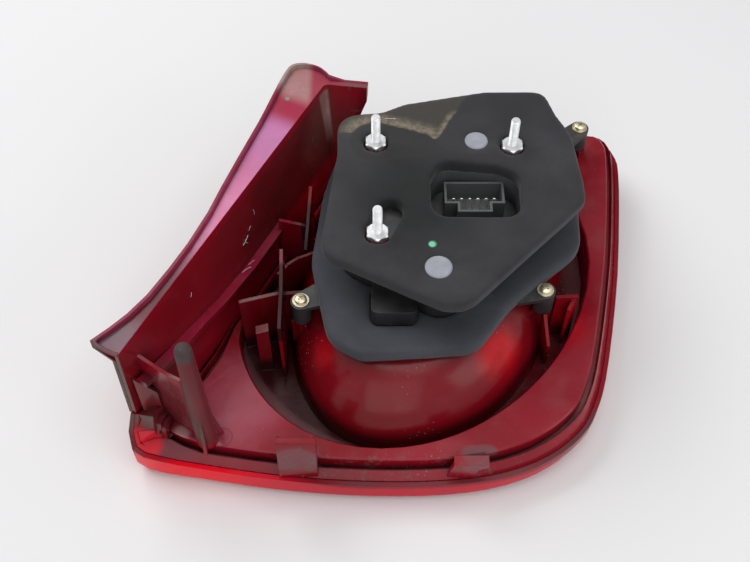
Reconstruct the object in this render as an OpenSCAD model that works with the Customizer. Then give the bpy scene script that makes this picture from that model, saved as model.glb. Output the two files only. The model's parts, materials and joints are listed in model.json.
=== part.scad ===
// Rear lamp cluster for a small hatchback, seen and modelled from its back.
// It lies lens down: Z runs from the lens face up to the mounting studs.
// The origin is the middle of the flat patch of lens that it rests on.
// All lengths are in millimetres.

/* [Lamp] */
// Overall width of the lens
lamp_w = 338; // [300:1:370]
// Overall height of the lens
lamp_h = 283; // [255:1:310]
// Clearance between moulded pieces that are bonded or slipped together
fit_gap = 0.3; // [0.15:0.05:0.5]

/* [Lens] */
// Wall thickness of the outer lens
lens_t = 3; // [2.4:0.1:3.4]
// Half width of the flat patch that the lens rests on
rest_rx = 74; // [60:1:90]
// Half height of the flat patch that the lens rests on
rest_ry = 58; // [45:1:70]

/* [Housing] */
// Height of the rear flange above the lens face, on its flat side
flange_z = 33; // [30:0.5:36]
// Wall thickness of the housing
wall_t = 2.6; // [2.2:0.1:3.2]
// Radius of the rise of the flange towards the outboard side
rise_r = 540; // [480:10:800]
// Width of the sloping rim round the flange
rim_w = 4.5; // [4:0.1:5.5]
// Width of the drain channel between rim and flange
channel_w = 3; // [2.5:0.1:4]
// Height of the seat for the bulb holder
deck_z = 64; // [62:0.5:67]

/* [Well] */
// Long half axis of the oval well
well_a = 132; // [128:1:134]
// Short half axis of the oval well
well_b = 108; // [104:1:110]
// Turn of the oval's long axis
well_turn = 50; // [45:1:55]
// Height of the floor of the well
well_floor_z = 18; // [16:0.5:20]

/* [Wing] */
// Height of the wing's top flange
wing_z = 115; // [105:1:120]
// How far the wing wall leans outward over its height
wing_lean = 9; // [6:0.5:12]
// Height of the lip along the wing's outer edge
lip_h = 3; // [2:0.2:4]
// Width of the ledge along the inside of the wing
ledge_w = 6; // [4:0.5:8]

/* [Locating post] */
// Diameter of the post at its tip
post_tip_d = 10; // [8:0.5:12]
// Height of the post's tip above the lens face
post_z = 138; // [125:1:145]

/* [Bulb holder] */
// Thickness of the holder's plate and walls
holder_t = 2.5; // [2:0.1:3]
// Height of the holder's rear face above the lens face
tower_z = 105; // [100:0.5:110]
// Outer diameter of the screw sleeves
sleeve_d = 13; // [12:0.5:15]
// Height of the ears that take the screws, above the holder's seat
ear_h = 7; // [5:0.5:9]
// Length of the screw sleeves
sleeve_len = 17; // [15:0.5:19]

/* [Seals] */
// Thickness of the lower foam seal
lower_seal_t = 11.5; // [9:0.5:13]
// Thickness of the upper foam seal
upper_seal_t = 10; // [8:0.5:12]
// Rounding of the foam's edges
seal_edge = 2; // [1:0.25:3]
// Diameter of the stud holes in the upper seal
stud_hole_d = 16.8; // [16.2:0.2:18]
// Diameter of the larger button that holds the upper seal
button_d = 16.5; // [14:0.5:18]
// Diameter of the smaller button that holds the upper seal
small_button_d = 15; // [12:0.5:16]

/* [Studs] */
// Thread diameter of the mounting studs
stud_d = 6; // [5:1:6]
// Length of thread above the collar
stud_len = 21; // [18:1:30]
// Width of the hexagon collar across its flats
collar_af = 13; // [11:0.5:13]
// Thickness of the hexagon collar
collar_h = 4; // [3:0.5:5]
// Length of the lower thread in the boss
stud_root = 16; // [12:1:20]
// Diameter of the bosses that hold the studs
stud_boss_d = 14; // [13:0.2:14.4]

/* [Holder screws] */
// Thread diameter of the holder screws
screw_d = 4; // [3.5:0.5:4.5]
// Head diameter of the holder screws
head_d = 8; // [7:0.5:8.5]
// Washer diameter
washer_d = 10.6; // [9.5:0.2:12]
// Washer thickness
washer_t = 1; // [0.8:0.1:1.5]
// Length of the screws under the head
screw_len = 16; // [12:1:18]

/* [Connector] */
// Distance from one contact to the next
pin_pitch = 5.2; // [4.5:0.1:5.2]
// Width of a contact blade
pin_w = 2.8; // [1.5:0.1:3]
// Wall thickness of the connector shroud
shroud_t = 1.6; // [1.2:0.1:2]
// Depth of the recess that the connector stands in
recess_depth = 20; // [16:0.5:24]

/* [Bulbs] */
// Diameter of a bulb's metal cap
cap_d = 15; // [14.5:0.1:15.5]
// Diameter of a bulb's glass
glass_d = 25; // [20:0.5:26]
// Overall length of a bulb
bulb_len = 48; // [44:0.5:49]

/* [Hidden] */
$fn = 48;

// The plan is drawn at these sizes and stretched to lamp_w and lamp_h
drawn_w = 338;
drawn_h = 283;
kx = lamp_w / drawn_w;
ky = lamp_h / drawn_h;
function plan(p) = [p[0] * kx, p[1] * ky];

// Heights of the stack on the holder
lower_seal_z = deck_z + holder_t;
upper_seal_top = tower_z + upper_seal_t;
collar_z = upper_seal_top - 3;
recess_z = tower_z - recess_depth;
ear_z = deck_z + ear_h;

// Places on the plan
stud_lower_at = plan([-10, -22]);
stud_ul_at = plan([-11, 53]);
stud_ur_at = plan([77, 50]);
screw_left_at = plan([-58, -42]);
screw_lr_at = plan([96, -34]);
screw_ur_at = plan([134, 108]);
button_lower_at = plan([26, -48]);
button_upper_at = plan([54, 54]);
connector_at = plan([52, 19]);
post_at = plan([-114, -118]);
well_at = plan([16, -2]);

// Bulb places, under the holder
brake_at = plan([18, -40]);
fog_at = plan([66, -6]);
indicator_at = plan([20, 56]);
reverse_at = plan([84, 74]);

// General helpers
function mix(a, b, t) = a + (b - a) * t;
function unit(v) = v / norm(v);
function smooth(t) = let (u = max(0, min(1, t))) u * u * (3 - 2 * u);
function spline(a, b, c, d, t) = 0.5 * (2 * b + (c - a) * t + (2 * a - 5 * b + 4 * c - d) * t * t
    + (3 * b - a - 3 * c + d) * t * t * t);
function closed_curve(p, k) = let (n = len(p)) [for (i = [0:n - 1]) for (j = [0:k - 1])
    spline(p[(i + n - 1) % n], p[i], p[(i + 1) % n], p[(i + 2) % n], j / k)];
function inward(p, i) = let (n = len(p), d = p[(i + 1) % n] - p[(i + n - 1) % n]) unit([-d[1], d[0]]);
function xy(p) = [p[0], p[1]];
function inset(p, d) = [for (i = [0:len(p) - 1]) p[i] + inward(p, i) * d];

// Corner arcs on a polygon: each point is [x, y, radius], drawn counter-clockwise
function corner(a, b, c, r, n) = let (u = unit(a - b), v = unit(c - b), half = acos(u * v) / 2,
    reach = r / tan(half), p = b + u * reach, q = b + v * reach, m = b + unit(u + v) * r / sin(half),
    a0 = atan2(p[1] - m[1], p[0] - m[0]), a1 = atan2(q[1] - m[1], q[0] - m[0]),
    turn = (a1 - a0 > 180) ? a1 - a0 - 360 : (a1 - a0 < -180) ? a1 - a0 + 360 : a1 - a0)
    [for (i = [0:n]) m + r * [cos(a0 + turn * i / n), sin(a0 + turn * i / n)]];
function rounded(p, n = 5) = let (k = len(p)) [for (i = [0:k - 1])
    each corner(xy(p[(i + k - 1) % k]), xy(p[i]), xy(p[(i + 1) % k]), p[i][2], n)];
function stretch(p) = [for (q = p) [q[0] * kx, q[1] * ky, q[2]]];

// Skin over rings of equal length; the first and last ring are closed by flat caps
module loft(rings, flip = false) {
    n = len(rings[0]);
    m = len(rings);
    sides = [for (r = [0:m - 2]) for (i = [0:n - 1])
        let (a = r * n + i, b = r * n + (i + 1) % n, c = b + n, d = a + n)
        each flip ? [[a, b, d], [b, c, d]] : [[a, b, c], [a, c, d]]];
    caps = [[for (i = [n - 1:-1:0]) i], [for (i = [0:n - 1]) (m - 1) * n + i]];
    polyhedron([for (r = rings) each r], [for (f = concat(sides, caps)) [for (i = [len(f) - 1:-1:0]) f[i]]]);
}

function at_z(p, z) = [for (q = p) [q[0], q[1], z]];

// Wing: s runs along the top of its inner face, n is outward from it
wing_foot = plan([-152, -106]);
wing_head = plan([-45, 107]);
wing_dir = unit(wing_head - wing_foot);
wing_out = [-wing_dir[1], wing_dir[0]];
wing_len = norm(wing_head - wing_foot);
function wing_pt(s, n) = wing_foot + wing_dir * s + wing_out * n;
function lean_at(z) = -wing_lean * (wing_z - z) / (wing_z - flange_z);

// Outline of the lens: x, y, height of its lower edge, height of the skirt's top
lens_points = [
    [-161, -122, 5, 26], [-144, -128.5, 4, 23], [-120, -132, 3, 20], [-90, -137, 3, 20], [-58, -141, 3, 20],
    [-27, -143.3, 3, 20], [4, -144, 3, 20], [32, -143, 3, 20], [58, -140, 4, 20], [80, -134.5, 6, 21],
    [97, -127, 8, 22], [111, -117.5, 11, 23], [122.5, -106, 13, 24], [130.5, -91, 15, 25], [137, -73, 17, 26],
    [146, -37, 19, 27], [156, 11, 20, 28], [164, 64, 22, 30], [168, 100, 24, 32], [167.5, 115, 24, 32],
    [161, 129, 24, 32], [146, 137, 24, 32], [108, 139, 22, 30], [60, 137, 18, 28], [6, 131, 14, 27],
    [-30, 123, 12, 27]];
side_points = [for (v = [[236, -3], [205, -4.5], [165, -4.5], [110, -4.5], [60, -4.5], [34, -1], [12, 5], [-5, 6.5]])
    let (p = wing_pt(v[0] * wing_len / 238, v[1])) [p[0], p[1], v[0] < 40 ? 8 : 11, v[0] < 0 ? 46 : v[0] < 20 ? 42 : 28]];
lens_line = closed_curve(concat([for (q = lens_points) [q[0] * kx, q[1] * ky, q[2], q[3]]], side_points), 2);
lens_xy = [for (q = lens_line) xy(q)];
stations = len(lens_line);

// Height of the rear flange at a place on the plan: slightly crowned, and rising towards the outboard side
crown_r = 12000;
function flange_at(p) = let (d = max(0, p[0] - 20 * kx), e = p - well_at)
    flange_z + rise_r - sqrt(rise_r * rise_r - d * d) - (e * e) / (2 * crown_r);

// Points outboard of the wing wall are drawn back onto it along the line to the well's middle
function on_wing(p, limit) = let (c = well_at, n1 = (p - wing_foot) * wing_out, n0 = (c - wing_foot) * wing_out,
    s1 = (p - wing_foot) * wing_dir)
    (n1 > limit && s1 > 2) ? mix(c, p, (limit - n0) / (n1 - n0)) : p;

// Edge of the oval well in the direction of a place on the plan
function well_edge(p, d) = let (v = p - well_at, t = atan2(v[1], v[0]), u = t - well_turn,
    a = well_a * kx - d, b = well_b * ky - d, r = a * b / sqrt(pow(b * cos(u), 2) + pow(a * sin(u), 2)))
    on_wing(well_at + r * [cos(t), sin(t)], lean_at(flange_z) - 4.4 - d * 0.85);
function swell(t, mid, wide) = let (d = abs(((t - mid + 540) % 360) - 180)) smooth(1 - d / wide);
function dome_gap(p) = let (v = p - well_at, t = atan2(v[1], v[0]) + 360)
    6 + 28 * swell(t, 205, 55) + 12 * swell(t, 350, 65);

// Edge of the deck on top of the dome: it reaches under the whole tower of the bulb holder
function tower_reach(u) = let (n = len(tower_points)) min([for (i = [0:n - 1])
    let (a = xy(tower_points[i]), d = unit(xy(tower_points[(i + 1) % n]) - a), o = [d[1], -d[0]])
    u * o > 0.05 ? ((a - well_at) * o) / (u * o) : 999]);
function dome_edge(p, t, d) = let (u = unit(p - well_at), foot = norm(well_edge(p, dome_gap(p)) - well_at),
    deck = min(foot - 5, max(tower_reach(u) + 3, foot - 38))) well_at + u * (mix(foot, deck, t) - d);

module outer_lens() {
    color([0.72, 0.03, 0.06]) {
        lens_bowl();
        lens_side();
    }
}

// The face and its skirt: the outer surface runs from the rest patch out to the skirt's top and back inside
module lens_bowl() {
    o = lens_xy;
    function patch(p, k) = let (t = atan2(p[1] / rest_ry, p[0] / rest_rx)) [rest_rx * k * cos(t), rest_ry * k * sin(t)];
    function ring(d, f, z) = [for (i = [0:stations - 1]) let (q = o[i] + inward(o, i) * d)
        [q[0], q[1], lens_line[i][2] * f + z]];
    function between(t, f, z) = [for (i = [0:stations - 1]) let (q = mix(patch(o[i], 1), o[i], t))
        [q[0], q[1], lens_line[i][2] * f + z]];
    function top(d) = [for (i = [0:stations - 1]) let (q = o[i] + inward(o, i) * d) [q[0], q[1], lens_line[i][3]]];
    loft([
        [for (p = o) let (q = patch(p, 1)) [q[0], q[1], 0]],
        between(0.45, 0.2, 0), ring(14, 0.55, 0), ring(4, 0.85, 0), ring(0.8, 1, 1), ring(0, 1, 4), top(0),
        top(lens_t), ring(lens_t, 1, 6), ring(lens_t + 3, 0.9, lens_t), ring(15, 0.55, lens_t),
        between(0.42, 0.2, lens_t),
        [for (p = o) let (q = patch(p, 0.97)) [q[0], q[1], lens_t]]]);
}

// Along the wing: place, width of the strip, lower end of the wall, lower end of the lens's side, share of the lean
wing_run = [[-4, 18, 48, 45, -0.35], [8, 13.5, 46, 42, -0.05], [20, 9.8, 31, 16.4, 0.35], [36, 7, 31, 16.4, 0.8],
    [57, 6.2, 31, 16.4, 1], [78, 6.4, 31, 16.4, 1], [104, 8.6, 31, 16.4, 1], [125, 12, 31, 16.4, 1],
    [150, 15.5, 31, 16.4, 1], [185, 20, 31, 16.4, 1], [214, 25, 31, 16.4, 1], [221, 26.2, 31, 16.4, 1]];
// Round the upper corner: turn of the outward direction, then as above
wing_corner = [[-8, 28, 31, 16.4], [-24, 24, 31, 20], [-42, 16, 31, 36], [-58, 9, 34, 38], [-68, 6.2, 38, 41]];
// Along the end wall: distance from the corner, then as above
wing_end = [[10, 6, 58, 59], [19, 6, 84, 85], [26, 6, 104, 105]];
corner_turn = -71;
end_out = [wing_out[0] * cos(corner_turn) - wing_out[1] * sin(corner_turn),
    wing_out[0] * sin(corner_turn) + wing_out[1] * cos(corner_turn)];
end_dir = [end_out[1], -end_out[0]];
corner_r = 4;
corner_mid = wing_head - wing_out * corner_r - wing_dir * corner_r;

// Three more stations between each pair where the wall twists
wing_steps = [for (i = [0:len(wing_run) - 2]) for (j = i < 4 ? [0:3] : [0]) mix(wing_run[i], wing_run[i + 1], j / 4)];
// Each wing station is [inner top point, outward direction, strip width, the two lower ends, shift per lean]
corner_shift = (wing_out + end_out) / (1 + wing_out * end_out);
wing_line = concat(
    [for (w = concat(wing_steps, [wing_run[len(wing_run) - 1]]))
        [wing_pt(w[0] * (wing_len - corner_r) / 234, 0), wing_out, w[1], w[2], w[3], wing_out * w[4]]],
    [for (w = wing_corner) let (c = cos(w[0]), s = sin(w[0]),
        o = [wing_out[0] * c - wing_out[1] * s, wing_out[0] * s + wing_out[1] * c])
        [corner_mid + o * corner_r, o, w[1], w[2], w[3], corner_shift]],
    [for (w = wing_end) [corner_mid + end_out * corner_r + end_dir * w[0], end_out, w[1], w[2], w[3], end_out]]);

// One stretch of wall between two convex outlines in space
module link(a, b) {
    hull() polyhedron(concat(a, b), [[for (i = [0:len(a) + len(b) - 1]) i]]);
}

// Sweep of a section along the wing; a section point is [outward place, height]
module along_wing(sections, flip) {
    loft([for (i = [0:len(wing_line) - 1]) [for (q = sections[i])
        let (w = wing_line[i], p = w[0] + w[1] * q[0] + w[5] * lean_at(q[1])) [p[0], p[1], q[1]]]], flip);
}

skin_in = wall_t + fit_gap;
skin_out = skin_in + lens_t - 0.4;
lip_w = 2;

// The lens's side: it backs the wing wall and flares out to the lip
module lens_side() {
    function hold(w) = max(wing_z - 9 - max(0, w[2] - 20) * 0.4, w[4] + 1.5);
    along_wing([for (w = wing_line) let (top = w[3] > 50 ? wing_z : wing_z + lip_h)
        [[skin_out, w[4]], [skin_out, hold(w) - 1], [w[2], wing_z - wall_t - 2], [w[2], top], [w[2] - lip_w, top],
            [w[2] - lip_w, wing_z - fit_gap - wall_t], [skin_in, hold(w)], [skin_in, w[4]]]], true);
}

module housing() {
    $fn = 24;
    color([0.35, 0.05, 0.08])
    difference() {
        union() {
            tray();
            wing_wall();
            ledge();
            well_ribs();
            locating_post();
            corner_gusset();
            edge_clip();
            hook_clip();
            screw_post(screw_left_at);
            screw_post(screw_lr_at);
            screw_post(screw_ur_at);
            stud_boss(stud_lower_at);
            stud_boss(stud_ul_at);
            stud_boss(stud_ur_at);
        }
        for (p = [screw_left_at, screw_lr_at, screw_ur_at])
            translate([p[0], p[1], ear_z + washer_t - screw_len - 1.5]) cylinder(d = screw_d + 0.2, h = screw_len + 10);
        for (p = [stud_lower_at, stud_ul_at, stud_ur_at])
            translate([p[0], p[1], collar_z - stud_root - 1]) cylinder(d = stud_d + 0.2, h = stud_root + 2);
        for (p = bulb_places)
            translate([p[0], p[1], deck_z - wall_t - 1]) cylinder(d = glass_d + 3, h = wall_t + 2);
    }
}

// One moulded skin: from the bonded rim over the channel and flange, down into the well, up the dome to its deck
module tray() {
    gap0 = lens_t + fit_gap;
    foot_n = lean_at(flange_z) + 1;
    function rim(i, d) = on_wing(lens_xy[i] + inward(lens_xy, i) * (gap0 + (d + (d > 3 ? extra(i) : 0)) * room[i]),
        foot_n - d * 0.25);
    function flat_z(i, d) = flange_at(rim(i, d));
    function rim_z(i) = max(lens_line[i][3] + 6, flat_z(i, 0) - 6);
    function floor_z(i) = max(lens_line[i][3] - 2, flat_z(i, 0) - 12);
    edge = rim_w + 0.7 + channel_w;
    // The rim narrows where the well comes close to the lamp's edge
    room = [for (i = [0:stations - 1]) let (q = lens_xy[i], w = (well_edge(q, -1.4) - q) * inward(lens_xy, i) - gap0)
        min(1, max(0.35, w / (edge + wall_t + 0.4)))];
    corner_at = plan([-158, -116]);
    function extra(i) = 9 * smooth(1.15 - norm(lens_xy[i] - corner_at) / 38);
    n = stations - 1;
    function rim_ring(d, zs) = [for (i = [0:n]) let (p = rim(i, d)) [p[0], p[1], zs[i]]];
    function plus(zs, k) = [for (z = zs) z + k];
    skirt = [for (q = lens_line) q[3]];
    tongue = [for (q = lens_line) q[3] - min(8, q[3] - q[2] - 6.6)];
    top = [for (i = [0:n]) rim_z(i)];
    bottom = [for (i = [0:n]) floor_z(i)];
    flat = [for (i = [0:n]) flat_z(i, edge)];
    well = [for (i = [0:n]) flange_at(well_edge(lens_xy[i], 0))];
    function well_ring(d, zs) = [for (i = [0:n]) let (p = well_edge(lens_xy[i], d)) [p[0], p[1], zs[i]]];
    function dome(t, d, z) = [for (i = [0:n]) let (p = dome_edge(lens_xy[i], t, d)) [p[0], p[1], z]];
    low = [for (i = [0:n]) well_floor_z];
    underside = [
        dome(1, wall_t * 0.5, deck_z - wall_t), dome(0.86, wall_t * 0.6, 62 - wall_t),
        dome(0.52, wall_t * 0.7, 54 - wall_t), dome(0.21, wall_t * 0.9, 42 - wall_t), dome(0.05, wall_t, 25.5),
        dome(0, wall_t, well_floor_z - wall_t), well_ring(-0.4, plus(low, -wall_t)), well_ring(-1.4, plus(well, -wall_t)),
        rim_ring(edge + wall_t, plus(flat, -wall_t)), rim_ring(edge + wall_t, plus(bottom, -wall_t)),
        rim_ring(rim_w - 1, plus(bottom, -wall_t)), rim_ring(rim_w - 1.6, plus(skirt, 1.4)), rim_ring(2, tongue)];
    back = [
        rim_ring(0, tongue), rim_ring(0, plus(skirt, 0.6)), rim_ring(rim_w, top), rim_ring(rim_w + 0.7, bottom),
        rim_ring(edge, bottom), rim_ring(edge + 0.3, plus(flat, -1)), rim_ring(edge + 1.4, flat),
        well_ring(0, well), well_ring(0.9, plus(well, -1.2)), well_ring(2, plus(low, 1)),
        dome(0, 0, well_floor_z), dome(0.05, 0, 27), dome(0.21, 0, 42), dome(0.47, 0, 54), dome(0.82, 0, 62),
        dome(1, 0, deck_z)];
    loft(concat(underside, back));
}

module wing_wall() {
    along_wing([for (w = wing_line) let (e = w[2] - lip_w - fit_gap)
        [[wall_t, w[3]], [wall_t, wing_z - wall_t], [e, wing_z - wall_t], [e, wing_z], [0, wing_z], [0, w[3]]]], false);
}

// Ledge along the wing: place along it and height of its top
ledge_run = [[2, 81], [12, 78.6], [34, 74.5], [56, 71], [82, 65], [116, 61], [150, 60.5], [156, 60.5]];
module ledge() {
    function section(v) = let (z = v[1] * wing_z / 115, b = lean_at(z) * smooth((v[0] + 20) / 50))
        [for (q = [[b + 1, z], [b + 1, z - 7], [b - ledge_w + 1.5, z - 6], [b - ledge_w, z - 4.5], [b - ledge_w, z]])
            let (p = wing_pt(v[0] * wing_len / 238, q[0])) [p[0], p[1], q[1]]];
    for (i = [0:len(ledge_run) - 2]) link(section(ledge_run[i]), section(ledge_run[i + 1]));
}

// A standing wall of the well between two places, with its own height at each end
module web(a, b, za, zb, z0, t = 2.2) {
    d = unit(b - a);
    o = [-d[1], d[0]] * t / 2;
    link([for (q = [a - o, a + o]) each [[q[0], q[1], z0], [q[0], q[1], za]]],
        [for (q = [b - o, b + o]) each [[q[0], q[1], z0], [q[0], q[1], zb]]]);
}

module well_ribs() {
    z0 = well_floor_z - 1;
    web(plan([-97, -42]), plan([-74, -35.5]), 70, 70, z0, 2.6);
    web(plan([-74, -35.5]), plan([-54, -31.5]), 70, 66, z0, 2.6);
    web(plan([-54, -31.5]), plan([-51, -23]), 66, 62, z0 + 20, 2.6);
    web(plan([-70, -66]), plan([-70, -40]), 76, 80, z0, 2.2);
    web(plan([-69.9, -40.6]), plan([-70.5, -14]), 79.9, 88, z0, 2.2);
    web(plan([-86, -58]), plan([-78, -57]), 62, 64, z0, 6);
    web(plan([-75.5, 24.7]), plan([-58, 20]), 70, 70, z0, 2.2);
    web(plan([-58, 10]), plan([-54, 40]), 56, 86, z0, 2.2);
    for (i = [0:4]) {
        a0 = 150 - i * 14;
        web(plan([-42, -32] + 38 * [cos(a0), sin(a0)]), plan([-42, -32] + 38 * [cos(a0 - 14.5), sin(a0 - 14.5)]),
            60 + i % 2 * 0.4, 60 + i % 2 * 0.4, z0 + 8, 2);
    }
    web(plan([100, -56]), plan([97, -42]), 40, 56, z0, 2.2);
    web(plan([112, -40]), plan([118, -28]), 58, 58, z0, 2.4);
    web(plan([104, -32.5]), plan([119, -30]), 62, 60, z0, 2.4);
}

module screw_post(p) {
    z0 = p == screw_ur_at ? flange_z + 2 : well_floor_z + 12;
    h = ear_z - sleeve_len + 5 - z0;
    translate([p[0], p[1], z0]) {
        cylinder(d = sleeve_d - 4.6, h = h);
        for (a = [20, 110, 200, 290])
            rotate([0, 0, a]) translate([0, -0.9, 0]) cube([7.5, 1.8, h - 6]);
    }
}

module stud_boss(p) {
    translate([p[0], p[1], deck_z - wall_t]) cylinder(d = stud_boss_d, h = collar_z - deck_z + wall_t);
}

// Tapered post with a domed tip, a front fin and a web to the wing wall
module locating_post() {
    r1 = post_tip_d / 2;
    r0 = r1 + 2;
    base = flange_z - 1;
    translate([post_at[0], post_at[1], 0])
        rotate_extrude() polygon(concat([[0, base], [r0, base], [r1, post_z - r1]],
            [for (a = [15:15:75]) [r1 * cos(a), post_z - r1 + r1 * sin(a)]], [[0, post_z]]));
    web(post_at + [0, -11], post_at, base + 2, 104, base, 2.2);
    web(post_at, post_at + [9, 5], 96, base + 2, base, 2.2);
    reach = (post_at - wing_foot) * wing_out;
    foot_s = (post_at - wing_foot) * wing_dir;
    mid = wing_pt(foot_s + 2, reach * 0.55);
    web(wing_pt(foot_s + 3, 1), mid, 97, 91, base, 2.2);
    web(mid - unit(post_at - mid) * 1.2, post_at, 91, 96, base - 0.25, 2.6);
}

// Small stepped gusset at the wing's lower end
module corner_gusset() {
    web(wing_pt(0.5, 0.3), wing_pt(7, -9), 84, 66, flange_z - 3, 2.4);
}

// Standing clip on the rim, with ribs behind it
module edge_clip() {
    a = plan([-58, -136.5]);
    w = 23.5;
    base = 20.8;
    top = 58;
    translate([a[0] - w / 2, a[1], 0])
        rotate([90, 0, 90]) linear_extrude(w)
            polygon([[-1.5, base], [1.5, base], [6, top], [2.5, top], [1.2, top - 4]]);
    for (x = [0, w - 2])
        translate([a[0] - w / 2 + x, a[1], 0]) rotate([90, 0, 90]) linear_extrude(2)
            polygon([[0, base], [6, base], [8, top - 2], [4, top - 1]]);
}

// Low hook on the rim
module hook_clip() {
    a = plan([43, -137]);
    translate([a[0], a[1], 0]) rotate([90, 0, 0]) linear_extrude(3, center = true)
        polygon([[-11, 20.8], [6, 20.8], [8, 31], [14, 34], [14, 38], [-7, 38], [-9, 30]]);
    translate([a[0] - 2, a[1] + 2.5, 0]) rotate([90, 0, 0]) linear_extrude(5, center = true)
        polygon([[-3, 34.5], [16, 34.5], [16, 38], [-5, 38]]);
}

// Metallised chambers behind the lens, one bowl for each bulb, with its own radius
bulb_places = [brake_at, fog_at, indicator_at, reverse_at];
bowl_radii = [30, 25, 30, 18];
bowl_top = deck_z - wall_t - 8;
bowl_low = well_floor_z - wall_t - 1.8;
module reflector() {
    $fn = 36;
    color([0.85, 0.86, 0.88])
    difference() {
        union() {
            for (i = [0:3]) bowl(bulb_places[i], bowl_radii[i]);
            translate([0, 0, bowl_low]) linear_extrude(1.8)
                polygon([for (i = [0:2:stations - 1]) dome_edge(lens_xy[i], 0, -2)]);
        }
        for (i = [0:3]) bowl_inside(bulb_places[i], bowl_radii[i]);
    }
}
function bowl_profile(r) = [for (a = [0:18:90])
    [mix(glass_d / 2 + 1, r, sin(a)), bowl_top - (bowl_top - bowl_low) * (1 - cos(a))]];
module bowl(p, r) {
    translate([p[0], p[1], 0]) rotate_extrude()
        polygon(concat([[0, bowl_top + 1.8]], [for (q = bowl_profile(r + 1.8)) [q[0], max(q[1] + 1.8, bowl_low)]],
            [[0, bowl_low]]));
}
module bowl_inside(p, r) {
    translate([p[0], p[1], 0]) rotate_extrude()
        polygon(concat([[0, bowl_top + 5], [glass_d / 2 + 1, bowl_top + 5]], bowl_profile(r), [[r, bowl_low - 2],
            [0, bowl_low - 2]]));
}

// Foam and holder outlines, each point with its corner radius
lower_points = stretch([[-52, -14, 40], [-40, -73, 22], [-20, -85, 14], [50, -80, 20], [72, -48, 60], [121, -4, 22],
    [124, 40, 40], [116, 96, 22], [60, 108, 30], [-34, 88, 20], [-46, 40, 40]]);
upper_points = stretch([[-45, -36, 14], [38, -80, 20], [119, 4, 10], [119.5, 20, 12], [116.5, 60, 30], [108, 78, 8],
    [102, 99.5, 10], [62, 100, 20], [8, 88, 20], [-6, 80.5, 10], [-36, 77, 14], [-35.5, 44, 10]]);
tower_points = stretch([[-32, -24, 12], [30, -62, 16], [102, 6, 10], [106, 56, 14], [92, 88, 10], [10, 76, 10], [-26, 68, 10]]);
connector_opening = stretch([[23, -9, 11], [79, -9.5, 11], [80, 26, 12], [66, 33, 12], [30, 37, 10], [23, 22, 14]]);

// Slab with rounded edges, drawn from its outline
module soft_slab(outline, z0, z1, edge) {
    steps = [[1, 0], [0.3, 0.3], [0, 1]];
    loft(concat([for (s = steps) at_z(inset(outline, edge * 0.6 * s[0]), z0 + edge * 0.6 * s[1])],
        [for (i = [2:-1:0]) at_z(inset(outline, edge * steps[i][0]), z1 - edge * steps[i][1])]));
}

module lower_seal() {
    color([0.16, 0.17, 0.19])
    difference() {
        soft_slab(rounded(lower_points), lower_seal_z, lower_seal_z + lower_seal_t, seal_edge);
        translate([0, 0, lower_seal_z - 1]) linear_extrude(lower_seal_t + 2)
            polygon(inset(rounded(tower_points), -fit_gap));
        latch_block(fit_gap);
    }
}

module upper_seal() {
    color([0.12, 0.12, 0.13])
    difference() {
        soft_slab(rounded(upper_points), tower_z, upper_seal_top, seal_edge);
        translate([0, 0, tower_z - 1]) {
            linear_extrude(upper_seal_t + 2) polygon(rounded(connector_opening));
            stud_slot(upper_seal_t + 2);
            for (p = [stud_ul_at, stud_ur_at]) translate([p[0], p[1], 0]) cylinder(d = stud_hole_d, h = upper_seal_t + 2);
        }
        button_hole(button_lower_at, button_d);
        button_hole(button_upper_at, small_button_d);
    }
}

// Slot for the lower stud
slot_end = plan([-2, -4]);
module stud_slot(h) {
    d = slot_end - stud_lower_at;
    a = atan2(d[1], d[0]);
    linear_extrude(h) polygon([for (e = [[stud_lower_at, a + 90], [slot_end, a - 90]]) for (i = [0:15:180])
        e[0] + stud_hole_d / 2 * [cos(e[1] + i), sin(e[1] + i)]]);
}

button_t = 1.6;
module button_hole(p, d) {
    translate([p[0], p[1], upper_seal_top - button_t]) cylinder(d = d + 2 * fit_gap, h = 10);
    translate([p[0], p[1], tower_z - 1]) cylinder(d = 5 + 2 * fit_gap, h = upper_seal_t + 2);
}

module seal_button(p, d) {
    color([0.55, 0.57, 0.62]) translate([p[0], p[1], 0])
    rotate_extrude() polygon([[0, tower_z - holder_t - 3], [1.8, tower_z - holder_t - 3], [2.5, tower_z - holder_t],
        [2.5, upper_seal_top - button_t], [d / 2, upper_seal_top - button_t], [d / 2, upper_seal_top - 0.5],
        [d / 2 - 0.7, upper_seal_top + 0.2], [0, upper_seal_top + 0.4]]);
}

module latch_block(gap) {
    p = plan([0, -55]);
    translate([p[0], p[1], lower_seal_z - 1])
        linear_extrude(tower_z - lower_seal_z - 14 + gap)
            polygon(inset(rounded([[-14, -9, 4], [14, -9, 4], [14, 16, 2], [-14, 16, 2]], 4), -gap));
}

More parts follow.
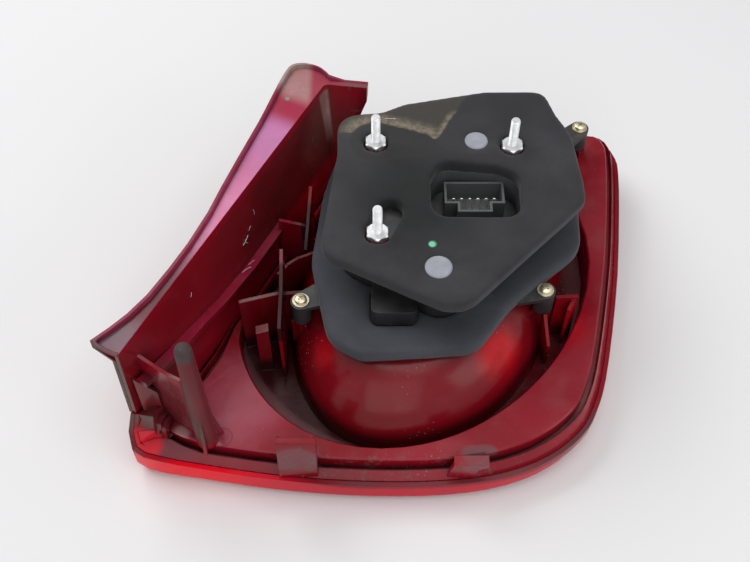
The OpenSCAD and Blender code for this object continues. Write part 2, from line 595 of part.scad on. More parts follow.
socket_d = cap_d + 7;
socket_low = deck_z - 3;
module bulb_holder() {
    color([0.09, 0.09, 0.1])
    difference() {
        union() {
            translate([0, 0, deck_z]) linear_extrude(holder_t) polygon(inset(rounded(lower_points), 2));
            translate([0, 0, deck_z]) linear_extrude(tower_z - deck_z) polygon(rounded(tower_points));
            latch_block(0);
            difference() {
                union() {
                    ear(screw_left_at, plan([-40, -34]));
                    ear(screw_lr_at, plan([78, -34]));
                    ear(screw_ur_at, plan([112, 88]));
                }
                translate([0, 0, lower_seal_z]) linear_extrude(lower_seal_t)
                    polygon(inset(rounded(lower_points), -fit_gap));
            }
            sockets(socket_low, recess_z);
        }
        difference() {
            translate([0, 0, deck_z - 1]) linear_extrude(tower_z - holder_t - deck_z + 1)
                polygon(inset(rounded(tower_points), holder_t));
            recess_box();
            sockets(socket_low, recess_z);
            socket_ribs();
        }
        for (p = bulb_places)
            translate([p[0], p[1], socket_low - 1]) cylinder(d = cap_d + 2 * fit_gap, h = rail_z + rail_t - socket_low + 1.3);
        contact_paths(fit_gap);
        contact_slots();
        connector_cavity();
        for (p = [stud_lower_at, stud_ul_at, stud_ur_at])
            translate([p[0], p[1], deck_z - 1]) cylinder(d = stud_boss_d + 4 * fit_gap, h = 60);
        for (p = [button_lower_at, button_upper_at])
            translate([p[0], p[1], tower_z - 10]) cylinder(d = 5 + 2 * fit_gap, h = 20);
        for (p = [screw_left_at, screw_lr_at, screw_ur_at])
            translate([p[0], p[1], ear_z - sleeve_len - 1]) {
                cylinder(d = screw_d + 0.6, h = sleeve_len + 5);
                cylinder(d = sleeve_d - 4, h = 6.3);
            }
    }
    color([0.09, 0.09, 0.1]) shroud();
}

module sockets(z0, z1) {
    for (p = bulb_places) translate([p[0], p[1], z0]) cylinder(d = socket_d, h = z1 - z0);
}

// Crossed ribs from each socket up to the holder's rear plate
module socket_ribs() {
    for (p = bulb_places) translate([p[0], p[1], recess_z - 1])
        for (a = [25, 115]) rotate([0, 0, a])
            translate([-socket_d / 2 + 1, -1, 0]) cube([socket_d - 2, 2, recess_depth]);
}

module ear(p, root) {
    d = unit(root - p);
    o = [-d[1], d[0]] * sleeve_d / 2;
    translate([0, 0, ear_z - 3.2]) linear_extrude(3.2) polygon([p - o, root - o * 1.5, root + o * 1.5, p + o]);
    translate([p[0], p[1], ear_z - sleeve_len]) cylinder(d = sleeve_d, h = sleeve_len);
    translate([0, 0, deck_z]) linear_extrude(ear_h - 1)
        polygon([p - o * 0.15 + d * 2, root - o * 0.15, root + o * 0.15, p + o * 0.15 + d * 2]);
}

// Recess in the holder's rear face, and the shroud that stands in it
shroud_w = 7 * pin_pitch + 2;
shroud_h = 25;
key_w = 22;
key_h = 7;
module recess_box() {
    translate([0, 0, recess_z - holder_t]) linear_extrude(tower_z - recess_z)
        polygon(inset(rounded(connector_opening), -holder_t));
}
module connector_cavity() {
    translate([0, 0, recess_z]) linear_extrude(recess_depth + 1) polygon(rounded(connector_opening));
}
function shroud_outline(d) = let (c = connector_at, w = shroud_w / 2 - d, y1 = shroud_h / 2 - d, y0 = -shroud_h / 2 + key_h + d,
    k = key_w / 2 - d, y2 = -shroud_h / 2 + d)
    [for (q = [[-w, y0], [-k, y0], [-k, y2], [k, y2], [k, y0], [w, y0], [w, y1], [-w, y1]]) c + q];
module shroud() {
    difference() {
        translate([0, 0, recess_z - 0.5]) linear_extrude(recess_depth - 4.5) polygon(shroud_outline(0));
        translate([0, 0, recess_z]) linear_extrude(recess_depth) polygon(shroud_outline(shroud_t));
        contact_slots();
    }
    translate([connector_at[0] - 0.8, connector_at[1] - shroud_h / 2 + 0.5, recess_z - 0.5])
        cube([1.6, 4, recess_depth - 7]);
}

pin_y = 1.3;
pin_t = 0.8;
function pin_x(i) = connector_at[0] + (i - 2.5) * pin_pitch;
module contact_slots() {
    for (i = [0:5])
        translate([pin_x(i) - pin_w / 2 - fit_gap, pin_row - pin_t / 2 - fit_gap, rail_z])
            cube([pin_w + 2 * fit_gap, pin_t + 2 * fit_gap, recess_z - rail_z + 1]);
}

// Stamped contacts: a flat run over the bulb socket and a blade that stands up in the shroud
rail_z = recess_z - holder_t - 2;
rail_t = 0.8;
rail_w = 3.4;
pin_row = connector_at[1] + pin_y;
function pin_at(i) = [pin_x(i), pin_row];
contact_runs = [
    [pin_at(0), brake_at + [-7.6, 1.5]],
    [pin_at(1), brake_at + [-2.7, -0.5]],
    [pin_at(2), brake_at + [2.7, 0.5]],
    [pin_at(3), indicator_at],
    [pin_at(4), plan([62, 60]), reverse_at],
    [pin_at(5), fog_at]];
module contact_run(run, gap) {
    for (i = [0:len(run) - 2]) {
        a = run[i];
        b = run[i + 1];
        d = unit(b - a);
        o = [-d[1], d[0]] * (rail_w / 2 + gap);
        e = d * (gap + (i == 0 ? 0.6 : rail_w / 2));
        translate([0, 0, rail_z - gap]) linear_extrude(rail_t + 2 * gap)
            polygon([a - o - e, b - o + d * gap, b + o + d * gap, a + o - e]);
    }
    z = run[len(run) - 1];
    translate([z[0], z[1], rail_z - gap]) cylinder(d = 3.8 + 2 * gap, h = rail_t + 2 * gap);
}
module contact_paths(gap) {
    for (r = contact_runs) contact_run(r, gap);
}
module contact(i) {
    color([0.78, 0.76, 0.68]) {
        contact_run(contact_runs[i], 0);
        translate([pin_x(i), pin_row, rail_z + rail_t / 2]) rotate([90, 0, 0]) linear_extrude(pin_t, center = true)
            polygon([[-pin_w / 2, 0], [pin_w / 2, 0], [pin_w / 2, pin_top - 1.5], [pin_w / 2 - 0.7, pin_top],
                [-pin_w / 2 + 0.7, pin_top], [-pin_w / 2, pin_top - 1.5]]);
    }
}
pin_top = recess_z + 11.5 - rail_z - rail_t / 2;
module ground_contact() { contact(0); }
module brake_contact() { contact(1); }
module tail_contact() { contact(2); }
module indicator_contact() { contact(3); }
module reverse_contact() { contact(4); }
module fog_contact() { contact(5); }

module bulb(p, tone) {
    top = rail_z - fit_gap;
    r = glass_d / 2;
    low = top - bulb_len;
    color(tone) translate([p[0], p[1], 0])
    rotate_extrude() polygon(concat([[0, low]], [for (a = [15:15:90]) [r * sin(a), low + r - r * cos(a)]],
        [[r, low + r + 4], [cap_d / 2 - 1.5, low + r + 14], [cap_d / 2, low + r + 15.5], [cap_d / 2, top - 2],
        [3, top - 2], [3, top], [0, top]]));
}
module brake_tail_bulb() { bulb(brake_at, [0.85, 0.87, 0.88]); }
module indicator_bulb() { bulb(indicator_at, [0.95, 0.6, 0.15]); }
module reverse_bulb() { bulb(reverse_at, [0.85, 0.87, 0.88]); }
module fog_bulb() { bulb(fog_at, [0.85, 0.87, 0.88]); }

// Stud with a hexagon collar, a pointed lower thread in the boss and an upper thread for the body nut
module stud(p) {
    r = stud_d / 2;
    color([0.75, 0.76, 0.78]) translate([p[0], p[1], collar_z]) {
        translate([0, 0, -stud_root]) cylinder(r = r, h = stud_root);
        intersection() {
            cylinder(d = collar_af / cos(30), h = collar_h, $fn = 6);
            rotate_extrude() polygon([[0, 0], [collar_af / 2, 0], [collar_af / 1.732, 0.6],
                [collar_af / 1.732, collar_h - 0.9], [collar_af / 2 - 0.1, collar_h], [0, collar_h]]);
        }
        cylinder(r = r, h = collar_h + stud_len - 1);
        translate([0, 0, collar_h + stud_len - 1]) cylinder(r1 = r, r2 = r - 0.9, h = 1);
    }
}
module stud_lower() { stud(stud_lower_at); }
module stud_upper_left() { stud(stud_ul_at); }
module stud_upper_right() { stud(stud_ur_at); }

module washer(p) {
    color([0.62, 0.6, 0.5]) translate([p[0], p[1], ear_z])
    difference() {
        cylinder(d = washer_d, h = washer_t);
        translate([0, 0, -1]) cylinder(d = screw_d + 0.3, h = 5);
    }
}
module washer_left() { washer(screw_left_at); }
module washer_lower_right() { washer(screw_lr_at); }
module washer_upper_right() { washer(screw_ur_at); }

module screw(p) {
    color([0.7, 0.66, 0.5]) translate([p[0], p[1], ear_z + washer_t])
    difference() {
        union() {
            rotate_extrude() polygon(concat([[0, 0], [head_d / 2, 0], [head_d / 2, 1.2]],
                [for (a = [30:20:70]) [head_d / 2 * cos(a) + 0.2, 1.2 + 1.5 * sin(a)]], [[0, 2.8]]));
            translate([0, 0, -screw_len]) cylinder(d = screw_d, h = screw_len + 1);
        }
        for (a = [45, 135]) rotate([0, 0, a]) translate([-2, -0.45, 1.2]) cube([4, 0.9, 3]);
    }
}
module screw_left() { screw(screw_left_at); }
module screw_lower_right() { screw(screw_lr_at); }
module screw_upper_right() { screw(screw_ur_at); }

outer_lens();
housing();
reflector();
bulb_holder();
ground_contact();
brake_contact();
tail_contact();
indicator_contact();
reverse_contact();
fog_contact();
brake_tail_bulb();
indicator_bulb();
reverse_bulb();
fog_bulb();
lower_seal();
upper_seal();
seal_button(button_lower_at, button_d);  // seal_button_lower
seal_button(button_upper_at, small_button_d);  // seal_button_upper
stud_lower();
stud_upper_left();
stud_upper_right();
washer_left();
washer_lower_right();
washer_upper_right();
screw_left();
screw_lower_right();
screw_upper_right();
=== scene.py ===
import json
import math

import bmesh
import bpy
from mathutils import Matrix, Vector, noise


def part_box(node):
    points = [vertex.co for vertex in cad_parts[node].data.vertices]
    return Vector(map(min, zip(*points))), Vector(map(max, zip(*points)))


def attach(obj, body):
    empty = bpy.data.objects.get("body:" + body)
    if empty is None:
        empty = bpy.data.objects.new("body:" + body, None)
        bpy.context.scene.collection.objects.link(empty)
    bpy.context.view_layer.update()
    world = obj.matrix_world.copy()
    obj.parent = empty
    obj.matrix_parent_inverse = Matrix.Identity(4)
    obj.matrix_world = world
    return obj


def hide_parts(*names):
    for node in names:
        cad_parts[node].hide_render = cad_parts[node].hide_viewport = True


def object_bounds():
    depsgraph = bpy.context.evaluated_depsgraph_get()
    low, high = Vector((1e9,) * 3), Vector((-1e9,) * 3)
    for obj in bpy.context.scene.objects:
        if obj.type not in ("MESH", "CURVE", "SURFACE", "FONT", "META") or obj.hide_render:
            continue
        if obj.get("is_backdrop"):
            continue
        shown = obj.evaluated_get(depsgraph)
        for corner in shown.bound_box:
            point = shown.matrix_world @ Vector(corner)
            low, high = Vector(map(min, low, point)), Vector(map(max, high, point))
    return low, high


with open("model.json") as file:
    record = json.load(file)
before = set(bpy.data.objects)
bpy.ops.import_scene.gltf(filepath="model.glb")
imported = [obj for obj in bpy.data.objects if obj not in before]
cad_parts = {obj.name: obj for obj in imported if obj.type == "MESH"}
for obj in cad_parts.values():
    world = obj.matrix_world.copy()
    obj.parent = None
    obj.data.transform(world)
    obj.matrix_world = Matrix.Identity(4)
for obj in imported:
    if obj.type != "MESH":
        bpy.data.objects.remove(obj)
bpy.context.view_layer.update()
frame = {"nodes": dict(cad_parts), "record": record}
scene = bpy.context.scene
MM = 0.001


# Shader helpers
class Shader:
    def __init__(self, name):
        self.mat = bpy.data.materials.new(name)
        self.mat.use_nodes = True
        self.tree = self.mat.node_tree
        self.tree.nodes.clear()
        self.out = self.tree.nodes.new("ShaderNodeOutputMaterial")
        self.bsdf = self.tree.nodes.new("ShaderNodeBsdfPrincipled")
        self.tree.links.new(self.bsdf.outputs[0], self.out.inputs[0])
        coord = self.tree.nodes.new("ShaderNodeTexCoord")
        self.pos = coord.outputs["Object"]

    def put(self, node, key, value):
        if isinstance(value, bpy.types.NodeSocket):
            self.tree.links.new(value, node.inputs[key])
        elif value is not None:
            node.inputs[key].default_value = value

    def set(self, **values):
        for k, v in values.items():
            self.put(self.bsdf, k.replace("_", " "), v)
        return self

    def noise(self, scale, detail=4, rough=0.55, vec=None, stretch=None, distort=0.0):
        n = self.tree.nodes.new("ShaderNodeTexNoise")
        vec = vec or self.pos
        if stretch:
            m = self.tree.nodes.new("ShaderNodeMapping")
            self.tree.links.new(vec, m.inputs[0])
            m.inputs["Scale"].default_value = stretch
            vec = m.outputs[0]
        self.tree.links.new(vec, n.inputs["Vector"])
        self.put(n, "Scale", scale)
        self.put(n, "Detail", detail)
        self.put(n, "Roughness", rough)
        self.put(n, "Distortion", distort)
        return n.outputs["Fac"]

    def cells(self, scale, kind="F1", vec=None):
        n = self.tree.nodes.new("ShaderNodeTexVoronoi")
        n.feature = kind
        self.tree.links.new(vec or self.pos, n.inputs["Vector"])
        self.put(n, "Scale", scale)
        return n.outputs["Distance"]

    def ramp(self, value, lo, hi, a=0.0, b=1.0):
        n = self.tree.nodes.new("ShaderNodeMapRange")
        n.interpolation_type = "SMOOTHSTEP"
        self.put(n, "Value", value)
        for k, v in (("From Min", lo), ("From Max", hi), ("To Min", a), ("To Max", b)):
            self.put(n, k, v)
        return n.outputs[0]

    def math(self, op, a, b=None, clamp=False):
        n = self.tree.nodes.new("ShaderNodeMath")
        n.operation = op
        n.use_clamp = clamp
        self.put(n, 0, a)
        if b is not None:
            self.put(n, 1, b)
        return n.outputs[0]

    def mix(self, fac, a, b):
        n = self.tree.nodes.new("ShaderNodeMix")
        n.data_type = "RGBA"
        n.clamp_factor = True
        self.put(n, 0, fac)
        for k, v in ((6, a), (7, b)):
            self.put(n, k, v if isinstance(v, bpy.types.NodeSocket) else (*v, 1))
        return n.outputs[2]

    def xyz(self, vec=None):
        n = self.tree.nodes.new("ShaderNodeSeparateXYZ")
        self.tree.links.new(vec or self.pos, n.inputs[0])
        return n.outputs

    def normal(self):
        return self.tree.nodes.new("ShaderNodeNewGeometry").outputs["Normal"]

    def along(self, direction, offset):
        """Distance in metres along a direction in the row frame, from a place given in the same way."""
        n = self.tree.nodes.new("ShaderNodeVectorMath")
        n.operation = "DOT_PRODUCT"
        self.tree.links.new(self.pos, n.inputs[0])
        n.inputs[1].default_value = direction
        return self.math("SUBTRACT", n.outputs["Value"], offset)

    def near(self, place, radius, soft):
        """1 within a radius of a place in the row frame, falling to 0 over a soft edge; lengths in mm."""
        n = self.tree.nodes.new("ShaderNodeVectorMath")
        n.operation = "DISTANCE"
        self.tree.links.new(self.pos, n.inputs[0])
        n.inputs[1].default_value = [c * MM for c in place]
        return self.ramp(n.outputs["Value"], (radius - soft) * MM, (radius + soft) * MM, 1, 0)

    def column(self, place, radius, soft):
        """As near, for an upright line through a place on the plan."""
        flat = self.tree.nodes.new("ShaderNodeVectorMath")
        flat.operation = "MULTIPLY"
        self.tree.links.new(self.pos, flat.inputs[0])
        flat.inputs[1].default_value = (1, 1, 0)
        n = self.tree.nodes.new("ShaderNodeVectorMath")
        n.operation = "DISTANCE"
        self.tree.links.new(flat.outputs[0], n.inputs[0])
        n.inputs[1].default_value = (place[0] * MM, place[1] * MM, 0)
        return self.ramp(n.outputs["Value"], (radius - soft) * MM, (radius + soft) * MM, 1, 0)

    def facing(self, direction):
        """How squarely a face looks along a direction, from -1 to 1."""
        n = self.tree.nodes.new("ShaderNodeVectorMath")
        n.operation = "DOT_PRODUCT"
        self.tree.links.new(self.normal(), n.inputs[0])
        n.inputs[1].default_value = direction
        return n.outputs["Value"]

    def times(self, *values):
        out = values[0]
        for v in values[1:]:
            out = self.math("MULTIPLY", out, v)
        return out

    def crevice(self, distance):
        n = self.tree.nodes.new("ShaderNodeAmbientOcclusion")
        n.samples = 4
        n.inputs["Distance"].default_value = distance
        return self.math("SUBTRACT", 1.0, n.outputs["AO"])

    def rounded(self, radius):
        n = self.tree.nodes.new("ShaderNodeBevel")
        n.samples = 3
        n.inputs["Radius"].default_value = radius
        return n.outputs[0]

    def bump(self, height, depth, strength=1.0, onto=None):
        n = self.tree.nodes.new("ShaderNodeBump")
        self.put(n, "Height", height)
        self.put(n, "Distance", depth)
        self.put(n, "Strength", strength)
        if onto is not None:
            self.put(n, "Normal", onto)
        return n.outputs[0]


# Wing directions of the row frame, as in the part's source
FOOT, HEAD = Vector((-0.152, -0.106, 0)), Vector((-0.045, 0.107, 0))
ALONG = (HEAD - FOOT).normalized()
OUT = Vector((-ALONG.y, ALONG.x, 0))


def red_lens():
    s = Shader("clear_red_acrylic")
    x, y, z = s.xyz()
    run = s.along(ALONG, FOOT.dot(ALONG))
    # Painted light: light gathers low in the skirt, most of all towards its inboard end
    painted_light = s.mix(s.ramp(x, -0.13, -0.05), (0.92, 0.004, 0.018), (0.56, 0.006, 0.026))
    level = s.math("SUBTRACT", z, s.ramp(x, -0.02, -0.09, 0.0, 0.006))
    low = s.times(s.ramp(level, 0.0185, 0.0145), s.ramp(s.noise(22, 3), 0.2, 0.6, 0.8, 1.0))
    base = s.mix(low, s.mix(s.ramp(s.noise(16, 3), 0.3, 0.7), (0.20, 0.006, 0.014), (0.27, 0.008, 0.020)), painted_light)
    grime = s.times(s.ramp(s.noise(150, 7, 0.68), 0.5, 0.68), s.ramp(s.noise(20, 3), 0.35, 0.65, 0.2, 1.0), s.ramp(z, 0.02, 0.032, 0.15, 0.7))
    base = s.mix(s.math("MULTIPLY", grime, 0.6), base, (0.10, 0.06, 0.045))
    # Painted reflection: a greyish-pink stripe on the up-facing step above the skirt, where light from above reflects
    painted_lip_reflection = s.times(s.ramp(level, 0.0185, 0.0205), s.ramp(z, 0.036, 0.032), s.ramp(y, -0.09, -0.10), s.ramp(s.noise(30, 4), 0.3, 0.7, 0.5, 0.8))
    base = s.mix(painted_lip_reflection, base, (0.110, 0.040, 0.044))
    # Chips and grit along the lower edge
    grit = s.times(s.ramp(s.cells(420), 0.08, 0.13, 1, 0), s.ramp(s.noise(60, 3), 0.56, 0.66), s.ramp(z, 0.012, 0.007))
    base = s.mix(grit, base, (0.62, 0.52, 0.46))
    # A film on the lip of the wing, beige with dust round its upper corner; its pink tone is partly painted reflection,
    # as on the housing's strip
    dusty = s.times(s.ramp(run, 0.212, 0.226), s.ramp(x, -0.052, -0.058))
    film_and_sheen = s.mix(dusty, (0.27, 0.040, 0.085), (0.37, 0.28, 0.26))
    base = s.mix(s.times(s.ramp(z, 0.1085, 0.112), s.ramp(s.noise(60, 5, 0.65), 0.3, 0.65, 0.45, 0.95)), base, film_and_sheen)
    foot = s.times(s.ramp(s.facing(-ALONG), 0.5, 0.9), s.ramp(run, 0.0, -0.003), s.ramp(z, 0.03, 0.042))
    base = s.mix(s.times(foot, s.ramp(s.noise(130, 6, 0.7), 0.3, 0.6, 0.6, 0.95)), base, (0.105, 0.092, 0.076))
    scratches = s.noise(420, 2, 0.4, stretch=(1, 0.08, 1))
    rough = s.math("ADD", s.ramp(s.noise(55, 5), 0.3, 0.75, 0.08, 0.22), s.math("MULTIPLY", s.math("ADD", grime, foot), 0.4), clamp=True)
    s.set(Base_Color=base, Roughness=rough, Normal=s.bump(scratches, 0.00003, 0.35, s.rounded(0.0007)))
    s.set(IOR=1.49, Specular_IOR_Level=0.12)
    return s.mat


def housing_red():
    s = Shader("moulded_red_plastic")
    x, y, z = s.xyz()
    up = s.xyz(s.normal())[2]
    outward = s.along(OUT, FOOT.dot(OUT))
    run = s.along(ALONG, FOOT.dot(ALONG))
    base = s.mix(s.ramp(s.noise(14, 4, 0.5), 0.3, 0.7), (0.200, 0.0035, 0.0100), (0.290, 0.0050, 0.0170))
    flow = s.noise(26, 3, 0.5, stretch=(1, 1, 0.12))
    base = s.mix(s.ramp(flow, 0.55, 0.8, 0, 0.3), base, (0.31, 0.008, 0.024))
    # Painted reflection: the flange is lighter and pinker towards the post, a glossy sheen painted into its colour
    painted_sheen = s.times(s.near((-102, -92, 33), 32, 24), s.ramp(up, 0.5, 0.9))
    base = s.mix(s.times(painted_sheen, s.ramp(s.noise(34, 4), 0.3, 0.7, 0.45, 0.8)), base, (0.44, 0.080, 0.125))
    # Painted highlights: two pale glints on the flange's edge beside the post
    painted_light = s.times(s.math("MAXIMUM", s.near((-131, -114, 32), 5, 2.5), s.near((-111, -121, 32), 4.5, 2.5)), s.ramp(up, 0.5, 0.9), s.ramp(z, 0.034, 0.033))
    base = s.mix(s.math("MULTIPLY", painted_light, 0.75), base, (0.62, 0.38, 0.39))
    # Painted shade: the well is darkened to deep red and nearly black on its floor, where shade falls in it; light
    # comes through beside the holder as painted light
    long, short = Vector((math.cos(math.radians(50)), math.sin(math.radians(50)), 0)), Vector((-math.sin(math.radians(50)), math.cos(math.radians(50)), 0))
    middle = Vector((0.016, -0.002, 0))
    u = s.math("DIVIDE", s.along(long, middle.dot(long)), 0.132)
    v = s.math("DIVIDE", s.along(short, middle.dot(short)), 0.108)
    oval = s.math("ADD", s.times(u, u), s.times(v, v))
    well = s.times(s.ramp(oval, 0.995, 0.93), s.ramp(outward, -0.009, -0.013))
    base = s.mix(s.math("MULTIPLY", well, 0.6), base, (0.125, 0.0025, 0.004))
    # Painted shade: the well's floor is darkened nearly to black, more towards the left
    floor = s.times(well, s.ramp(z, 0.036, 0.026), s.ramp(x, 0.03, -0.05, 0.6, 0.92))
    base = s.mix(floor, base, (0.016, 0.0012, 0.0016))
    # Painted light: bright red patches where light comes through into the shaded well
    for place, radius, share in (((67, -68, 52), 15, 0.85), ((-43, -68, 52), 9, 0.5), ((-50, 59, 55), 26, 0.95), ((112, -42, 45), 14, 0.5)):
        painted_glow = s.times(s.near(place, radius, radius * 0.75), s.ramp(s.noise(40, 3), 0.3, 0.7, share * 0.5, share))
        base = s.mix(painted_glow, base, (0.62, 0.007, 0.012))
    # The wing's inner wall is browner and darker towards its head
    wall = s.times(s.ramp(s.facing(-OUT), 0.4, 0.8), s.ramp(outward, -0.016, -0.012), s.ramp(z, 0.112, 0.108), s.ramp(z, 0.05, 0.06), s.ramp(run, 0.05, 0.19, 0.30, 0.78))
    base = s.mix(s.times(wall, s.ramp(s.noise(20, 4, 0.6), 0.3, 0.7, 0.7, 1.0)), base, (0.040, 0.012, 0.010))
    # The wing's strip, part film and part painted reflection: grey at the foot, then a pink and orchid sheen painted
    # into the colour, a clean crimson stripe and beige dust
    strip = s.times(s.ramp(z, 0.1125, 0.1145), s.ramp(up, 0.4, 0.8))
    film_and_sheen = s.mix(s.ramp(run, 0.008, 0.026), (0.135, 0.088, 0.115), (0.078, 0.017, 0.027))
    film_and_sheen = s.mix(s.ramp(run, 0.045, 0.105), film_and_sheen, (0.70, 0.25, 0.43))
    film_and_sheen = s.mix(s.ramp(run, 0.130, 0.172), film_and_sheen, (0.53, 0.20, 0.40))
    film_and_sheen = s.mix(s.ramp(run, 0.186, 0.202), film_and_sheen, (0.37, 0.035, 0.075))
    film_and_sheen = s.mix(s.times(s.ramp(run, 0.210, 0.222), s.ramp(x, -0.052, -0.058)), film_and_sheen, (0.47, 0.26, 0.26))
    film_and_sheen = s.mix(s.times(s.ramp(run, 0.210, 0.222), s.ramp(x, -0.042, -0.028, 0.0, 0.8)), film_and_sheen, (0.13, 0.085, 0.068))
    base = s.mix(s.times(strip, s.ramp(s.noise(24, 5, 0.6), 0.3, 0.72, 0.75, 1.0)), base, film_and_sheen)
    dusty_end = s.times(s.ramp(run, 0.2265, 0.2300), s.ramp(z, 0.1125, 0.109), s.ramp(z, 0.066, 0.082), s.ramp(s.facing(-OUT), 0.4, 0.8), s.ramp(s.noise(70, 5, 0.6), 0.3, 0.7, 0.5, 0.95))
    haze = s.times(s.near((-56, 107, 86), 26, 18), s.ramp(s.noise(50, 5), 0.3, 0.7, 0.4, 0.9))
    base = s.mix(haze, base, (0.17, 0.062, 0.056))
    base = s.mix(dusty_end, base, (0.42, 0.25, 0.235))
    # The ledge and the tops of the webs catch more light, and a film of dust lies on the webs
    ledge = s.times(s.ramp(up, 0.7, 0.95), s.ramp(z, 0.054, 0.058), s.ramp(z, 0.09, 0.086), s.ramp(outward, -0.020, -0.016))
    base = s.mix(s.math("MULTIPLY", ledge, 0.7), base, (0.31, 0.012, 0.048))
    webs = s.times(s.ramp(up, 0.7, 0.95), s.ramp(z, 0.057, 0.062), s.ramp(outward, -0.018, -0.022), s.ramp(x, -0.03, -0.045))
    base = s.mix(s.math("MULTIPLY", webs, 0.55), base, (0.15, 0.075, 0.07))
    # Painted shade: both upright ribs beside the holder are darkened but for their upper ends, where light reaches
    shaded_left_rib = s.times(s.ramp(s.math("ABSOLUTE", s.math("ADD", x, 0.070)), 0.0030, 0.0022), s.ramp(y, -0.070, -0.068), s.ramp(y, -0.021, -0.025), s.ramp(z, 0.060, 0.064))
    shaded_right_rib = s.times(s.ramp(s.math("ABSOLUTE", s.math("ADD", x, 0.056)), 0.0050, 0.0042), s.ramp(y, 0.006, 0.008), s.ramp(y, 0.034, 0.030), s.ramp(z, 0.052, 0.056))
    base = s.mix(s.math("MULTIPLY", s.math("MAXIMUM", shaded_left_rib, shaded_right_rib), 0.9), base, (0.022, 0.006, 0.008))
    # Grey film on the rim in front, on both clips and on the locating post
    rim = s.times(s.ramp(z, 0.0305, 0.0285), s.ramp(up, 0.5, 0.9), s.math("SUBTRACT", 1.0, s.column((16, -2), 122, 3)))
    base = s.mix(s.times(rim, s.ramp(s.noise(30, 4), 0.3, 0.7, 0.6, 0.88)), base, (0.150, 0.055, 0.062))
    clips = s.math("MAXIMUM", s.near((-59, -133, 38), 15, 2), s.near((52, -132, 32), 12, 2))
    base = s.mix(s.times(clips, s.ramp(z, 0.027, 0.031), s.ramp(y, -0.1215, -0.1245), s.ramp(s.noise(60, 4), 0.3, 0.7, 0.6, 0.9)), base, (0.175, 0.062, 0.070))
    post = s.times(s.column((-114, -118), 10, 1.5), s.ramp(z, 0.034, 0.040))
    base = s.mix(s.times(post, s.ramp(s.noise(45, 4), 0.3, 0.7, 0.7, 0.9)), base, (0.080, 0.015, 0.019))
    base = s.mix(s.times(post, s.ramp(z, 0.124, 0.132), s.ramp(s.noise(160, 4), 0.3, 0.6, 0.6, 0.95)), base, (0.048, 0.043, 0.040))
    # The gusset between the wing's wall and the post is darker and greyer
    gusset = s.times(s.near((-135, -108, 60), 26, 6), s.ramp(outward, -0.002, -0.004))
    base = s.mix(s.times(gusset, s.ramp(s.noise(45, 4), 0.3, 0.7, 0.4, 0.75)), base, (0.085, 0.030, 0.032))
    # Painted light: a bright red wedge at the lower corner, where light gathers as in the lens's skirt
    wedge = s.times(s.near((-155, -116, 26), 13, 3), s.ramp(z, 0.043, 0.039))
    base = s.mix(s.math("MULTIPLY", wedge, 0.85), base, (0.70, 0.012, 0.030))
    # Fine settled dust, shade in the corners, road dirt and grit
    settled = s.times(s.ramp(up, 0.35, 0.95), s.ramp(s.noise(46, 6, 0.62), 0.42, 0.78, 0.0, 0.11))
    corner = s.times(s.crevice(0.009), s.ramp(s.noise(90, 5, 0.6), 0.35, 0.7, 0.3, 0.85), s.ramp(x, 0.115, 0.13, 1.0, 0.45))
    base = s.mix(settled, base, (0.32, 0.19, 0.19))
    base = s.mix(corner, base, (0.028, 0.004, 0.004))
    front = s.times(s.ramp(y, -0.124, -0.134), s.ramp(z, 0.045, 0.04, 0.5, 1.0))
    foot = s.times(s.ramp(s.facing(-ALONG), 0.5, 0.9), s.ramp(run, 0.002, -0.002), s.ramp(z, 0.038, 0.050))
    head = s.times(s.ramp(run, 0.234, 0.238), s.ramp(x, -0.034, -0.024), s.ramp(z, 0.05, 0.06))
    dirt = s.times(s.math("MAXIMUM", front, s.math("MULTIPLY", head, 0.8)), s.ramp(s.noise(150, 8, 0.72, distort=0.5), 0.52, 0.64))
    dirt = s.math("MAXIMUM", s.math("MULTIPLY", dirt, 0.55), s.times(foot, s.ramp(s.noise(130, 6, 0.7), 0.3, 0.6, 0.6, 0.95)))
    base = s.mix(dirt, base, (0.115, 0.092, 0.074))
    specks = s.times(s.ramp(s.cells(330), 0.10, 0.15, 1, 0), s.ramp(s.noise(28, 3), 0.56, 0.68), s.ramp(up, 0.0, 0.5, 0.25, 1.0))
    base = s.mix(s.math("MULTIPLY", specks, 0.5), base, (0.48, 0.38, 0.35))
    base = s.mix(s.near((-70, 92, 115), 1.5, 0.5), base, (0.16, 0.30, 0.23))
    # Mark of an ejector pin on the flange
    mark = s.math("SUBTRACT", s.column((-105, -116.5), 6.3, 0.3), s.column((-105, -116.5), 5.5, 0.3))
    mark = s.times(mark, s.ramp(z, 0.028, 0.030))
    base = s.mix(s.math("MULTIPLY", mark, 0.55), base, (0.13, 0.014, 0.026))
    base = s.mix(s.times(s.column((-105, -116), 4.4, 0.5), s.ramp(z, 0.028, 0.030, 0, 0.6)), base, (0.24, 0.030, 0.055))
    rough = s.math("ADD", s.ramp(s.noise(38, 6, 0.6), 0.3, 0.75, 0.13, 0.30), s.math("MULTIPLY", s.math("ADD", s.math("ADD", dirt, rim), s.math("ADD", settled, post)), 0.38), clamp=True)
    scratches = s.ramp(s.noise(500, 2, 0.3, stretch=(0.05, 1, 1)), 0.62, 0.68)
    relief = s.math("SUBTRACT", s.math("MULTIPLY", dirt, 1.6), s.math("ADD", s.math("MULTIPLY", scratches, 0.5), s.math("MULTIPLY", mark, 2.5)))
    height = s.math("ADD", s.math("MULTIPLY", s.noise(240, 2, 0.5), 0.45), relief)
    s.set(Base_Color=base, Roughness=rough, Normal=s.bump(height, 0.00006, 0.5, s.rounded(0.0007)))
    s.set(IOR=1.5, Specular_IOR_Level=0.24)
    return s.mat


